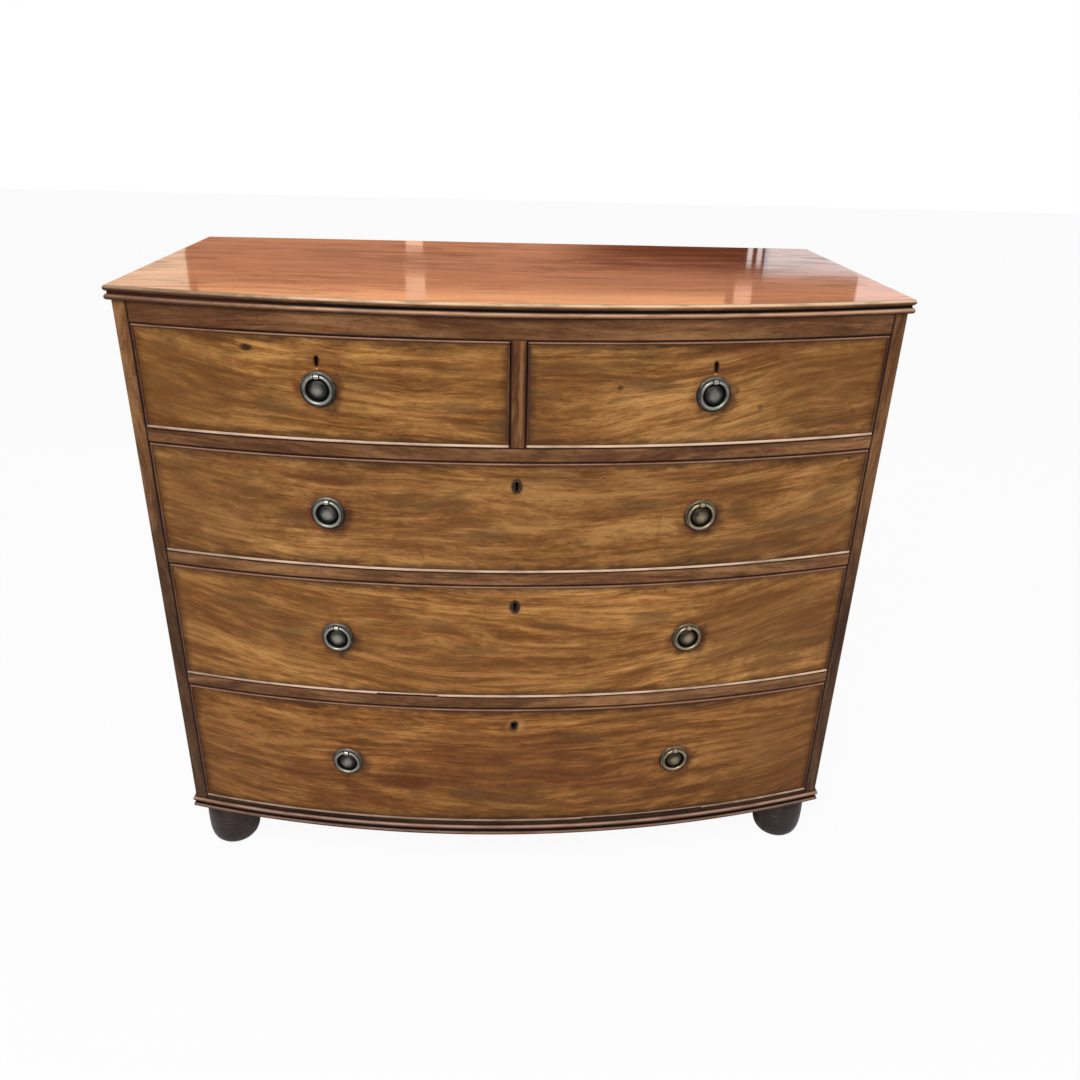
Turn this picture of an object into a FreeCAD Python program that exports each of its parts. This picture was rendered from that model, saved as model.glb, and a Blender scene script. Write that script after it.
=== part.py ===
import FreeCAD, Part
import math
import os
from collections import namedtuple
from types import SimpleNamespace

import Sketcher

# Bow front chest of drawers: two short drawers over three long graduated ones, on turned feet.
# X runs along the front, the front faces -Y, +Z is up, and the origin is on the floor under the
# middle of the whole chest. Lengths are millimetres.

DIMENSIONS = {
    "caseWidth": 1050,
    "caseDepth": 468,  # at the ends of the case, from the front corner to the back
    "bowSagitta": 76,  # how far the middle of the front stands out past its corners
    "topOverhang": 7,
    "rearOverhang": 5,
    "reedHigh": 8.5,
    "reedEase": 2.4,  # chamfer that rounds a reed
    "reedQuirk": 3.3,  # depth of the groove between two reeds
    "quirkHigh": 2,
    "sideThick": 21,
    "housingDeep": 5,
    "housingStop": 12,  # how far behind the front edge a housing starts
    "backThick": 10,
    "backBoards": 5,
    "friezeHigh": 28,
    "railHigh": 21,
    "railBack": 25,  # back edge of the rails, behind the front corner of the case
    "bottomRailHigh": 27,
    "bottomThick": 12,
    "mouldingProud": 4.5,
    "dividerWide": 21,
    "tenonHigh": 6,
    "tenonFront": 20,  # shoulder in front of the divider's stub tenons
    "tenonBack": 10,
    "shortRow": 142,
    "upperRow": 165,
    "middleRow": 190,
    "lowerRow": 220,
    "runnerWide": 50,
    "dustThick": 8,
    "dustTongue": 6,
    "kickerWide": 34,
    "kickerThick": 18,
    "guideWide": 18,
    "stopWide": 40,
    "stopThick": 16,
    "stopHigh": 5,
    "stopSpread": 160,
    "stopSet": 5,  # stops behind the middle of the drawer front that meets them
    "footHigh": 96,
    "footRadius": 42,
    "footInset": 44,  # from the ends and the back of the case to a foot's centre
    "footDrum": 75,  # height of the drum, below the neck and the collar
    "footSole": 10.5,  # chamfers that round the drum's lower and upper edges
    "footShoulder": 5.5,
    "neckRadius": 35,
    "neckHigh": 5,
    "collarRadius": 38,
    "spigotRadius": 13,
    "spigotHigh": 13,
    "blockWide": 70,
    "blockDeep": 60,
    "drawerGap": 1,
    "runGap": 0.5,
    "fitGap": 0.15,
    "frontThick": 22,
    "beadThick": 3,
    "beadDeep": 7,  # how far a cockbead is let into the drawer front
    "beadProud": 2,
    "boxThick": 10,
    "boxBack": 13,  # air behind a closed drawer
    "sideDrop": 4,  # top edge of a drawer side below the opening
    "backDrop": 10,
    "bottomRaise": 7,
    "bottomBoard": 6,
    "sideGroove": 4,
    "frontGroove": 6,
    "tailLap": 9,  # wood left in front of the lapped dovetails
    "tails": 3,
    "tailFlare": 1.35,  # how much wider a tail is at its tip than at its root
    "tailShare": 0.55,  # of the spacing that a tail's root takes up
    "pinShare": 0.44,  # of the spacing that a pin's wide end takes up
    "pinNarrow": 0.3,
    "handleSpread": 258,
    "keyholeDrop": 30,
    "keyholeRadius": 2.8,
    "keyholeLong": 11,
    "keyholeWide": 3,
    "lockWide": 56,
    "lockHigh": 42,
    "lockThick": 11,
    "selvedgeThick": 2,
    "selvedgeLip": 2,
    "boltWide": 20,
    "boltThick": 6,
    "boltLong": 26,
    "boltTravel": 7,
    "boltEase": 0.3,
    "talonWide": 6,
    "talonHigh": 5,
    "morticeEase": 2,
    "escutcheonWide": 11,
    "escutcheonHigh": 19,
    "escutcheonThick": 2,
    "escutcheonLine": 1.2,
    "escutcheonProud": 0.3,
    "plateRadius": 24,
    "plateThick": 1.4,
    "borderWide": 3,
    "borderHigh": 1.4,
    "borderEase": 0.8,
    "bossRadius": 13,
    "bossHigh": 6.4,
    "bossEase": 3,
    "ringRadius": 18,
    "wireRadius": 1.9,
    "ringOut": 4.2,  # ring's plane in front of the drawer's face
    "pinRadius": 1.2,
    "pinEase": 0.15,
    "knuckleWide": 6.4,
    "postRadius": 2.5,
    "nutWide": 12,
    "nutThick": 4,
}
PLATE_SIDES = 16  # sides of the small round pieces, which keeps the model light
FOOT_SIDES = 18
ROD_SIDES = 8
RING_RUNS = 16  # straight runs in a whole turn of a ring
RING_GAP = 14  # degrees from the top of a ring to each of its two ends
WIRE_SIDES = 6

doc = FreeCAD.newDocument("BowFrontChest")
sheet = doc.addObject("Spreadsheet::Sheet", "dims")
derived = doc.addObject("App::VarSet", "derived")
nodes = {}


class Size:
    """A length with its value in millimetres and the formula that binds it to the sheet."""

    def __init__(self, value, text):
        self.value = float(value)
        self.text = text

    def __add__(self, other):
        other = sized(other)
        return Size(self.value + other.value, f"({self.text} + {other.text})")

    def __sub__(self, other):
        other = sized(other)
        return Size(self.value - other.value, f"({self.text} - {other.text})")

    def __mul__(self, other):
        other = sized(other)
        return Size(self.value * other.value, f"({self.text} * {other.text})")

    def __truediv__(self, other):
        other = sized(other)
        return Size(self.value / other.value, f"({self.text} / {other.text})")

    def __pow__(self, power):
        return Size(self.value**power, f"({self.text} ^ {power})")

    def __neg__(self):
        return Size(-self.value, f"(-1 * {self.text})")

    def __radd__(self, other):
        return sized(other) + self

    def __rsub__(self, other):
        return sized(other) - self

    def __rmul__(self, other):
        return sized(other) * self


def sized(number):
    return number if isinstance(number, Size) else Size(number, f"{number}")


def root(size):
    return Size(math.sqrt(size.value), f"sqrt({size.text})")


def fillSheet():
    """Put the driving dimensions into the sheet and return them as sizes."""
    for row, (name, value) in enumerate(DIMENSIONS.items(), 1):
        sheet.set(f"A{row}", name)
        sheet.set(f"B{row}", str(value))
        sheet.setAlias(f"B{row}", name)
    doc.recompute()
    return SimpleNamespace(**{name: Size(value, f"dims.{name}") for name, value in DIMENSIONS.items()})


def derive(name, size):
    """Keep a worked-out length as a named property, so that formulas stay short."""
    derived.addProperty("App::PropertyFloat", name)
    derived.setExpression(name, size.text)
    return Size(size.value, f"derived.{name}")


d = fillSheet()
halfCase = derive("halfCase", d.caseWidth / 2)
topThick = derive("topThick", d.reedHigh * 2 + d.quirkHigh)
bowRadius = derive("bowRadius", (halfCase**2 + d.bowSagitta**2) / (d.bowSagitta * 2))
depthInAll = derive("depthInAll", d.topOverhang + d.bowSagitta + d.caseDepth + d.rearOverhang)
cornerY = derive("cornerY", d.topOverhang + d.bowSagitta - depthInAll / 2)
backY = derive("backY", cornerY + d.caseDepth)
bowCentre = derive("bowCentre", cornerY - d.bowSagitta + bowRadius)
insideX = derive("insideX", halfCase - d.sideThick)
railBackY = derive("railBackY", cornerY + d.railBack)
insideBackY = derive("insideBackY", backY - d.backThick)
lowerZ = derive("lowerZ", d.footHigh + d.bottomRailHigh)
middleZ = derive("middleZ", lowerZ + d.lowerRow + d.railHigh)
upperZ = derive("upperZ", middleZ + d.middleRow + d.railHigh)
shortZ = derive("shortZ", upperZ + d.upperRow + d.railHigh)
friezeZ = derive("friezeZ", shortZ + d.shortRow)
caseTopZ = derive("caseTopZ", friezeZ + d.friezeHigh)
railLevels = {"lower": middleZ - d.railHigh, "middle": upperZ - d.railHigh, "upper": shortZ - d.railHigh}

Arc = namedtuple("Arc", "x y radius")


def bowArc(inset=0):
    """The arc of a surface that lies inset behind the bowed face of the case."""
    return Arc(sized(0), bowCentre, bowRadius - inset)


def bowY(x, inset=0):
    """Y of that surface at x."""
    return bowCentre - root((bowRadius - inset) ** 2 - sized(x) ** 2)


def pinPoint(sketch, geometry, end, x, y):
    """Fix one end of an edge at x, y from the sketch's origin."""
    for kind, size, axis in (("DistanceX", x, -2), ("DistanceY", y, -1)):
        if abs(size.value) < 1e-9:
            sketch.addConstraint(Sketcher.Constraint("PointOnObject", geometry, end, axis))
            continue
        index = sketch.addConstraint(Sketcher.Constraint(kind, -1, 1, geometry, end, size.value))
        sketch.setExpression(f"Constraints[{index}]", size.text)


def drawCircle(sketch, circle):
    centre = FreeCAD.Vector(circle.x.value, circle.y.value, 0)
    upright = FreeCAD.Vector(0, 0, 1)
    index = sketch.addGeometry(Part.Circle(centre, upright, circle.radius.value), False)
    pinPoint(sketch, index, 3, circle.x, circle.y)
    radius = sketch.addConstraint(Sketcher.Constraint("Radius", index, circle.radius.value))
    sketch.setExpression(f"Constraints[{radius}]", circle.radius.text)


def drawLoop(sketch, corners):
    """Close a loop through corners (x, y), or (x, y, arc) where an arc leaves the corner."""
    corners = [(sized(corner[0]), sized(corner[1]), *corner[2:]) for corner in corners]
    first = sketch.GeometryCount
    ends = []
    for index, corner in enumerate(corners):
        after = corners[(index + 1) % len(corners)]
        start = FreeCAD.Vector(corner[0].value, corner[1].value, 0)
        stop = FreeCAD.Vector(after[0].value, after[1].value, 0)
        if len(corner) == 2:
            sketch.addGeometry(Part.LineSegment(start, stop), False)
            ends.append((1, 2))
            continue
        arc = corner[2]
        centre = FreeCAD.Vector(arc.x.value, arc.y.value, 0)
        circle = Part.Circle(centre, FreeCAD.Vector(0, 0, 1), arc.radius.value)
        angles = [math.atan2(point.y - centre.y, point.x - centre.x) for point in (start, stop)]
        forward = (angles[1] - angles[0]) % (2 * math.pi) < math.pi
        if not forward:
            angles.reverse()
        sketch.addGeometry(Part.ArcOfCircle(circle, *angles), False)
        ends.append((1, 2) if forward else (2, 1))
        radius = sketch.addConstraint(Sketcher.Constraint("Radius", first + index, arc.radius.value))
        sketch.setExpression(f"Constraints[{radius}]", arc.radius.text)
    for index, corner in enumerate(corners):
        after = (index + 1) % len(corners)
        join = (first + index, ends[index][1], first + after, ends[after][0])
        sketch.addConstraint(Sketcher.Constraint("Coincident", *join))
        pinPoint(sketch, first + index, ends[index][0], corner[0], corner[1])


def rectangle(left, low, right, high):
    return [(left, low), (right, low), (right, high), (left, high)]


def roundLoop(radius, sides, x=0, y=0):
    """A regular many-sided loop round a point."""
    turn = 360 / sides
    return [(x + radius * cosine(turn * side), y + radius * sine(turn * side)) for side in range(sides)]


def cosine(degrees):
    return Size(math.cos(math.radians(degrees)), f"cos({degrees:.4f} deg)")


def sine(degrees):
    return Size(math.sin(math.radians(degrees)), f"sin({degrees:.4f} deg)")


def newBody(label):
    return doc.addObject("PartDesign::Body", label)


def originFeature(body, role):
    return next(feature for feature in body.Origin.OriginFeatures if feature.Role == role)


def newSketch(body, axis, level):
    """A sketch square to an axis, at a level along it."""
    role = {"x": "YZ_Plane", "y": "XZ_Plane", "z": "XY_Plane"}[axis]
    sketch = body.newObject("Sketcher::SketchObject", f"{body.Name}_sketch")
    sketch.AttachmentSupport = [(originFeature(body, role), "")]
    sketch.MapMode = "FlatFace"
    along = -level if axis == "y" else level
    sketch.setExpression("AttachmentOffset.Base.z", along.text)
    return sketch


def block(body, kind, axis, low, high, *loops):
    """Pad or Pocket loops, or a circle, between two levels along an axis."""
    low, high = sorted((sized(low), sized(high)), key=lambda size: size.value)
    sketch = newSketch(body, axis, high if axis == "y" else low)
    for outline in loops:
        if isinstance(outline, Arc):
            drawCircle(sketch, outline)
        else:
            drawLoop(sketch, outline)
    feature = body.newObject(f"PartDesign::{kind}", f"{body.Name}_{kind}")
    feature.Profile = sketch
    feature.setExpression("Length", (high - low).text)
    feature.Reversed = kind == "Pocket"
    return feature


def roundPad(body, axis, low, high, radius, sides, ease=None):
    """A round Pad on the origin's axis; ease chamfers the edge of the end that stands free."""
    block(body, "Pad", axis, low, high, roundLoop(radius, sides))
    if ease is None:
        return
    free = sized(high if axis == "z" else low).value

    def onRim(edge):
        points = [vertex.Point for vertex in edge.Vertexes]
        levels = [point.z if axis == "z" else point.y for point in points]
        spreads = [math.hypot(point.x, point.y if axis == "z" else point.z) for point in points]
        return all(abs(level - free) < 0.01 for level in levels) and min(spreads) > radius.value - 0.01

    easeEdges(body, ease, onRim)


def repeatUp(body, feature, pitch, count):
    """Repeat a feature up the Z axis."""
    pattern = body.newObject("PartDesign::LinearPattern", f"{body.Name}_pattern")
    pattern.Originals = [feature]
    pattern.Direction = (originFeature(body, "Z_Axis"), [""])
    pattern.setExpression("Length", (pitch * (count - 1)).text)
    pattern.setExpression("Occurrences", count.text)
    body.Tip = pattern


def easeEdges(body, size, chosen):
    """Chamfer the edges of a body's last feature that chosen picks."""
    doc.recompute()
    last = body.Tip
    names = [f"Edge{number}" for number, edge in enumerate(last.Shape.Edges, 1) if chosen(edge)]
    feature = body.newObject("PartDesign::Chamfer", f"{body.Name}_chamfer")
    feature.Base = (last, names)
    feature.setExpression("Size", size.text)


def isBowed(edge, inset):
    """True for an edge on a bowed surface that lies inset behind the face of the case."""
    round_ = edge.Curve.TypeId == "Part::GeomCircle"
    return round_ and abs(edge.Curve.Radius - (bowRadius - inset).value) < 0.01


def place(feature, x=0, y=0, z=0):
    for name, size in (("x", sized(x)), ("y", sized(y)), ("z", sized(z))):
        feature.setExpression(f"Placement.Base.{name}", size.text)
    return feature


def seatOnBow(feature, x, z):
    """Stand a fitting made with its back at Y 0 on the bowed face at x, facing square out of it."""
    place(feature, x, bowY(x), z)
    feature.setExpression("Placement.Rotation.Angle", f"asin({sized(x).text} / {bowRadius.text})")
    return feature


def group(label, members):
    compound = doc.addObject("Part::Compound", label)
    compound.Links = members
    return compound


def cutAway(label, base, tools):
    cut = doc.addObject("Part::Cut", label)
    cut.Base = base
    cut.Tool = group(f"{label}_tools", tools)
    return cut


def keep(name, feature):
    """Name a finished sub-part."""
    feature.Label = name
    nodes[name] = feature
    return feature


def pair(low, high, hand):
    """Two X positions on one hand of the chest, in rising order."""
    return (low, high) if hand > 0 else (-high, -low)


# ---- carcase ----


def topBoard():
    """The top: two reeds with a quirk between them run along the front and both ends."""
    body = newBody("top_board")
    half = halfCase + d.topOverhang
    rear = backY + d.rearOverhang

    def layer(low, high, inset):
        side = half - inset
        front = bowY(side, inset - d.topOverhang)
        arc = bowArc(inset - d.topOverhang)
        block(body, "Pad", "z", low, high, [(-side, front, arc), (side, front), (side, rear), (-side, rear)])

    quirkTop = d.reedHigh + d.quirkHigh
    layer(0, d.reedHigh, sized(0))
    layer(d.reedHigh, quirkTop, d.reedQuirk)
    layer(quirkTop, topThick, sized(0))

    def onReed(edge):
        atEnd = abs(abs(edge.CenterOfMass.x) - half.value) < 0.01 and edge.BoundBox.ZLength < 0.01
        return atEnd or isBowed(edge, -d.topOverhang)

    easeEdges(body, d.reedEase, onReed)
    keep("top_board", place(body, z=caseTopZ))


def sidePanel(name, hand):
    """A solid end of the case: its front edge is the stile beside the drawers."""
    body = newBody(name)
    inner, outer = pair(insideX, halfCase, hand)
    height = caseTopZ - d.footHigh
    plan = [(inner, bowY(inner), bowArc()), (outer, bowY(outer)), (outer, backY), (inner, backY)]
    block(body, "Pad", "z", 0, height, plan)
    rebate = pair(insideX, insideX + d.backThick, hand)
    block(body, "Pocket", "z", 0, height, rectangle(rebate[0], insideBackY, rebate[1], backY))
    start = bowY(insideX) + d.housingStop
    housings = []
    for level in railLevels.values():
        foot = level - d.footHigh
        housings.append(rectangle(start, foot, insideBackY, foot + d.railHigh))
    boardTop = lowerZ - d.footHigh
    housings.append(rectangle(railBackY, boardTop - d.bottomThick, insideBackY, boardTop))
    block(body, "Pocket", "x", *pair(insideX, insideX + d.housingDeep, hand), *housings)
    keep(name, place(body, z=d.footHigh))


def bowedRail(name, level, height, lockPlaces, housed=True):
    """A rail across the case with a bowed face, and a mortice under it for each lock bolt."""
    body = newBody(name)
    front = bowY(insideX)
    plan = [(-insideX, front, bowArc()), (insideX, front), (insideX, railBackY), (-insideX, railBackY)]
    if housed:
        far = insideX + d.housingDeep
        start = front + d.housingStop
        plan[2:] = [(insideX, start), (far, start), (far, railBackY)]
        plan += [(-far, railBackY), (-far, start), (-insideX, start)]
    block(body, "Pad", "z", 0, height, plan)
    boltIn = d.frontThick - d.lockThick / 2
    for keyX in lockPlaces:
        # a lock stands square to the bow, so its bolt lies nearer to the middle than its keyhole
        x = keyX * (bowRadius - boltIn) / bowRadius
        middle = bowY(x, boltIn)
        wide = d.boltWide / 2 + d.morticeEase
        mortice = rectangle(x - wide, middle - d.boltThick, x + wide, middle + d.boltThick)
        block(body, "Pocket", "z", 0, d.boltTravel + d.morticeEase, mortice)
    keep(name, place(body, z=level))
    return body


def dividerTenon(top):
    """Plan of the stub tenon on the centre divider, or of its mortice."""
    ease = d.fitGap if top else 0
    half = d.dividerWide / 4 + ease
    return rectangle(-half, bowY(0, d.tenonFront) - ease, half, railBackY - d.tenonBack + ease)


def rails():
    frieze = bowedRail("frieze_rail", friezeZ, d.friezeHigh, [-d.handleSpread, d.handleSpread], housed=False)
    block(frieze, "Pocket", "z", 0, d.tenonHigh, dividerTenon(True))
    for name, level in railLevels.items():
        body = bowedRail(f"{name}_drawer_rail", level, d.railHigh, [sized(0)])
        low = (d.railHigh - d.dustThick) / 2
        reach = insideX - d.runnerWide + d.dustTongue
        slot = rectangle(-reach, railBackY - d.dustTongue, reach, railBackY)
        block(body, "Pocket", "z", low, low + d.dustThick, slot)
        if name == "upper":
            block(body, "Pocket", "z", d.railHigh - d.tenonHigh, d.railHigh, dividerTenon(True))
    bowedRail("bottom_rail", d.footHigh, d.bottomRailHigh, [], housed=False)


def centreDivider():
    """The short post between the two short drawers, tenoned into the rails above and below it."""
    body = newBody("centre_divider")
    half = d.dividerWide / 2
    front = bowY(half)
    post = [(-half, front, bowArc()), (half, front), (half, railBackY), (-half, railBackY)]
    block(body, "Pad", "z", 0, d.shortRow, post)
    tenon = d.tenonHigh - d.fitGap
    block(body, "Pad", "z", -tenon, 0, dividerTenon(False))
    block(body, "Pad", "z", d.shortRow, d.shortRow + tenon, dividerTenon(False))
    keep("centre_divider", place(body, z=shortZ))


def baseMoulding():
    """A double-reeded strip planted round the foot of the case, mitred at the front corners."""

    def strip(label, outline):
        body = newBody(label)
        quirkTop = d.reedHigh + d.quirkHigh
        block(body, "Pad", "z", 0, d.reedHigh, outline(d.mouldingProud))
        block(body, "Pad", "z", d.reedHigh, quirkTop, outline(d.mouldingProud - d.reedQuirk))
        block(body, "Pad", "z", quirkTop, quirkTop + d.reedHigh, outline(d.mouldingProud))

        def outward(edge):
            atEnd = abs(abs(edge.CenterOfMass.x) - (halfCase + d.mouldingProud).value) < 0.01
            return (atEnd and edge.BoundBox.ZLength < 0.01) or isBowed(edge, -d.mouldingProud)

        easeEdges(body, d.reedEase, outward)
        return place(body, z=d.footHigh)

    def front(proud):
        out = halfCase + proud
        tip = bowY(out, -proud)
        return [(-out, tip, bowArc(-proud)), (out, tip), (halfCase, cornerY, bowArc()), (-halfCase, cornerY)]

    def side(hand):
        def outline(proud):
            out = (halfCase + proud) * hand
            flush = halfCase * hand
            return [(flush, cornerY), (out, bowY(halfCase + proud, -proud)), (out, backY), (flush, backY)]

        return outline

    strips = [strip("moulding_front", front)]
    for label, hand in (("moulding_left", -1), ("moulding_right", 1)):
        strips.append(strip(label, side(hand)))
    keep("base_moulding", group("base_moulding", strips))


def runnersAndStops():
    """What the drawers run on and under, what keeps them straight and what stops them."""
    members = []

    def add(axis, low, high, z, *loops):
        body = newBody("runner_piece")
        block(body, "Pad", axis, low, high, *loops)
        members.append(place(body, z=z))

    edge = insideX - d.runnerWide
    grooveLow = (d.railHigh - d.dustThick) / 2
    grooveHigh = grooveLow + d.dustThick
    for level in railLevels.values():
        for hand in (-1, 1):
            far = (insideX + d.housingDeep) * hand
            near = edge * hand
            slot = (edge + d.dustTongue) * hand
            section = [(far, 0), (near, 0), (near, grooveLow), (slot, grooveLow), (slot, grooveHigh)]
            section += [(near, grooveHigh), (near, d.railHigh), (far, d.railHigh)]
            add("y", railBackY, insideBackY, level, section)
    kickerZ = friezeZ + d.friezeHigh - d.kickerThick
    for left, right in ((-insideX, d.kickerWide - insideX), (insideX - d.kickerWide, insideX)):
        add("z", 0, d.kickerThick, kickerZ, rectangle(left, railBackY, right, insideBackY))
    half = d.kickerWide / 2
    add("z", 0, d.kickerThick, kickerZ, rectangle(-half, railBackY, half, insideBackY))
    add("z", grooveHigh, d.railHigh, railLevels["upper"], rectangle(-half, railBackY, half, insideBackY))
    guide = d.guideWide / 2
    add("z", 0, d.guideWide, shortZ, rectangle(-guide, railBackY, guide, insideBackY))
    middle = (insideX + d.dividerWide / 2) / 2
    stopPlaces = [(lowerZ, 0), (middleZ, 0), (upperZ, 0), (shortZ, -middle), (shortZ, middle)]
    for level, centre in stopPlaces:
        for side in (-1, 1):
            x = centre + d.stopSpread * side / (1 if level is not shortZ else 2)
            front = bowY(x, d.frontThick) + d.stopSet
            half = d.stopWide / 2
            add("z", 0, d.stopHigh, level, rectangle(x - half, front, x + half, front + d.stopThick))
    keep("runners_and_stops", group("runners_and_stops", members))


def boards():
    """Dust boards between the rows, the bottom of the case and the back boards."""
    reach = insideX - d.runnerWide + d.dustTongue
    low = (d.railHigh - d.dustThick) / 2
    dust = []
    for name, level in railLevels.items():
        body = newBody(f"{name}_dust_board")
        plan = rectangle(-reach, railBackY - d.dustTongue, reach, insideBackY)
        block(body, "Pad", "z", low, low + d.dustThick, plan)
        dust.append(place(body, z=level))
    keep("dust_boards", group("dust_boards", dust))

    bottom = newBody("case_bottom")
    far = insideX + d.housingDeep
    block(bottom, "Pad", "z", 0, d.bottomThick, rectangle(-far, railBackY, far, insideBackY))
    keep("case_bottom", place(bottom, z=lowerZ - d.bottomThick))

    backs = []
    width = (insideX + d.backThick) * 2 / d.backBoards
    for number in range(DIMENSIONS["backBoards"]):
        board = newBody("back_board")
        left = width * number - insideX - d.backThick
        plan = rectangle(left + d.fitGap, insideBackY, left + width - d.fitGap, backY)
        block(board, "Pad", "z", 0, caseTopZ - d.footHigh, plan)
        backs.append(place(board, z=d.footHigh))
    keep("back_boards", group("back_boards", backs))


def feet():
    """Four turned feet, each with a spigot in a block in the corner under the case."""
    foot = newBody("foot_pattern")
    neckTop = d.footDrum + d.neckHigh
    roundPad(foot, "z", 0, d.footDrum, d.footRadius, FOOT_SIDES, d.footShoulder)
    easeEdges(foot, d.footSole, lambda edge: edge.BoundBox.ZMax < 0.01)
    roundPad(foot, "z", d.footDrum, neckTop, d.neckRadius, FOOT_SIDES)
    roundPad(foot, "z", neckTop, d.footHigh, d.collarRadius, FOOT_SIDES)
    roundPad(foot, "z", d.footHigh, d.footHigh + d.spigotHigh, d.spigotRadius, ROD_SIDES)
    depth = lowerZ - d.bottomThick - d.footHigh
    hole = d.spigotRadius + d.fitGap
    standings = []
    blocks = []
    for handX in (-1, 1):
        for y, low, high in (
            (cornerY + d.footInset, railBackY, railBackY + d.blockDeep),
            (backY - d.footInset, insideBackY - d.blockDeep, insideBackY),
        ):
            x = (halfCase - d.footInset) * handX
            standings.append(place(group("foot", [foot]), x, y))
            body = newBody("corner_block")
            left, right = pair(insideX - d.blockWide, insideX, handX)
            block(body, "Pad", "z", 0, depth, rectangle(left, low, right, high))
            block(body, "Pocket", "z", 0, depth, roundLoop(hole, ROD_SIDES, x, y))
            blocks.append(place(body, z=d.footHigh))
    keep("feet", group("feet", standings))
    keep("corner_blocks", group("corner_blocks", blocks))


# ---- fittings, each made once with its back at Y 0 and placed on every drawer ----


def handlePlate():
    """Round plate with a raised border, a domed boss, a knuckle for the ring and a threaded post."""
    body = newBody("plate_pattern")
    thick = d.plateThick
    rim = d.plateRadius
    face = thick + d.borderHigh
    roundPad(body, "y", -face, 0, rim, PLATE_SIDES, d.borderEase)
    channel = roundLoop(rim - d.borderWide, PLATE_SIDES), roundLoop(d.bossRadius, PLATE_SIDES)
    block(body, "Pocket", "y", -face, -thick, *channel)
    roundPad(body, "y", -d.bossHigh, -face, d.bossRadius, PLATE_SIDES, d.bossEase)
    top = d.ringRadius * cosine(RING_GAP)
    half = d.knuckleWide / 2
    knuckle = rectangle(-half, top - half, half, top + half)
    block(body, "Pad", "y", -d.ringOut - half, -thick, knuckle)
    # the eye that the ring's pin turns in
    block(body, "Pocket", "x", -half, half, Arc(-d.ringOut, top, d.pinRadius + d.pinEase))
    post = roundLoop(d.postRadius, ROD_SIDES)
    block(body, "Pad", "y", 0, d.frontThick + d.nutThick + 1, post)
    nut = newBody("nut_pattern")
    side = d.nutWide / 2
    seat = d.frontThick + d.fitGap
    block(nut, "Pad", "y", seat, seat + d.nutThick, rectangle(-side, -side, side, side), post)
    return group("handle_pattern", [body, nut])


def ringPull():
    """A ring whose two ends meet in a straight pin, which turns in the knuckle."""
    body = newBody("ring_pattern")
    run = (360 - 2 * RING_GAP) / (RING_RUNS - 2)
    path = newSketch(body, "y", -d.ringOut)
    angles = [90 + RING_GAP + run * number for number in range(RING_RUNS - 1)]
    points = [(d.ringRadius * cosine(angle), d.ringRadius * sine(angle)) for angle in angles]
    for start, stop in zip(points, points[1:]):
        ends = [FreeCAD.Vector(x.value, y.value, 0) for x, y in (start, stop)]
        path.addGeometry(Part.LineSegment(*ends), False)
    for index, (x, y) in enumerate(points[:-1]):
        pinPoint(path, index, 1, x, y)
        if index:
            path.addConstraint(Sketcher.Constraint("Coincident", index - 1, 2, index, 1))
    pinPoint(path, len(points) - 2, 2, *points[-1])
    # the wire's section stands square to the start of the path
    section = body.newObject("Sketcher::SketchObject", "wire_section")
    section.AttachmentSupport = [(path, "Edge1")]
    section.MapMode = "NormalToEdge"
    drawLoop(section, roundLoop(d.wireRadius, WIRE_SIDES))
    wire = body.newObject("PartDesign::AdditivePipe", "ring_wire")
    wire.Profile = section
    wire.Spine = (path, [f"Edge{number}" for number in range(1, len(points))])
    wire.Transition = "Right corner"
    reach = d.ringRadius * sine(RING_GAP) + d.pinRadius / 2
    pin = Arc(-d.ringOut, d.ringRadius * cosine(RING_GAP), d.pinRadius)
    block(body, "Pad", "x", -reach, reach, pin)
    return body


def drawerLock():
    """A lock let into the back of the drawer front, and the bolt that slides in it."""
    lock = newBody("lock_pattern")
    half = d.lockWide / 2
    face = d.frontThick - d.lockThick
    block(lock, "Pad", "z", -d.lockHigh, -d.selvedgeThick, rectangle(-half, face, half, d.frontThick))
    block(lock, "Pad", "z", -d.selvedgeThick, 0, rectangle(-half, face - d.selvedgeLip, half, d.frontThick))
    middle = face + d.lockThick / 2

    def boltPlan(ease):
        wide = d.boltWide / 2 + ease
        thin = d.boltThick / 2 + ease
        return rectangle(-wide, middle - thin, wide, middle + thin)

    block(lock, "Pocket", "z", -d.boltLong - d.drawerGap, 0, boltPlan(d.boltEase))
    slot = d.keyholeWide / 2
    keyway = rectangle(-slot, -d.keyholeDrop - d.keyholeLong, slot, -d.keyholeDrop + d.keyholeRadius)
    block(lock, "Pocket", "y", face - d.selvedgeLip, middle, keyway)
    bolt = newBody("bolt_pattern")
    block(bolt, "Pad", "z", -d.boltLong, 0, boltPlan(0))
    notch = d.talonWide / 2
    talon = rectangle(-notch, -d.boltLong, notch, -d.boltLong + d.talonHigh)
    block(bolt, "Pocket", "y", face, face + d.lockThick, talon)
    return lock, bolt


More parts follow.
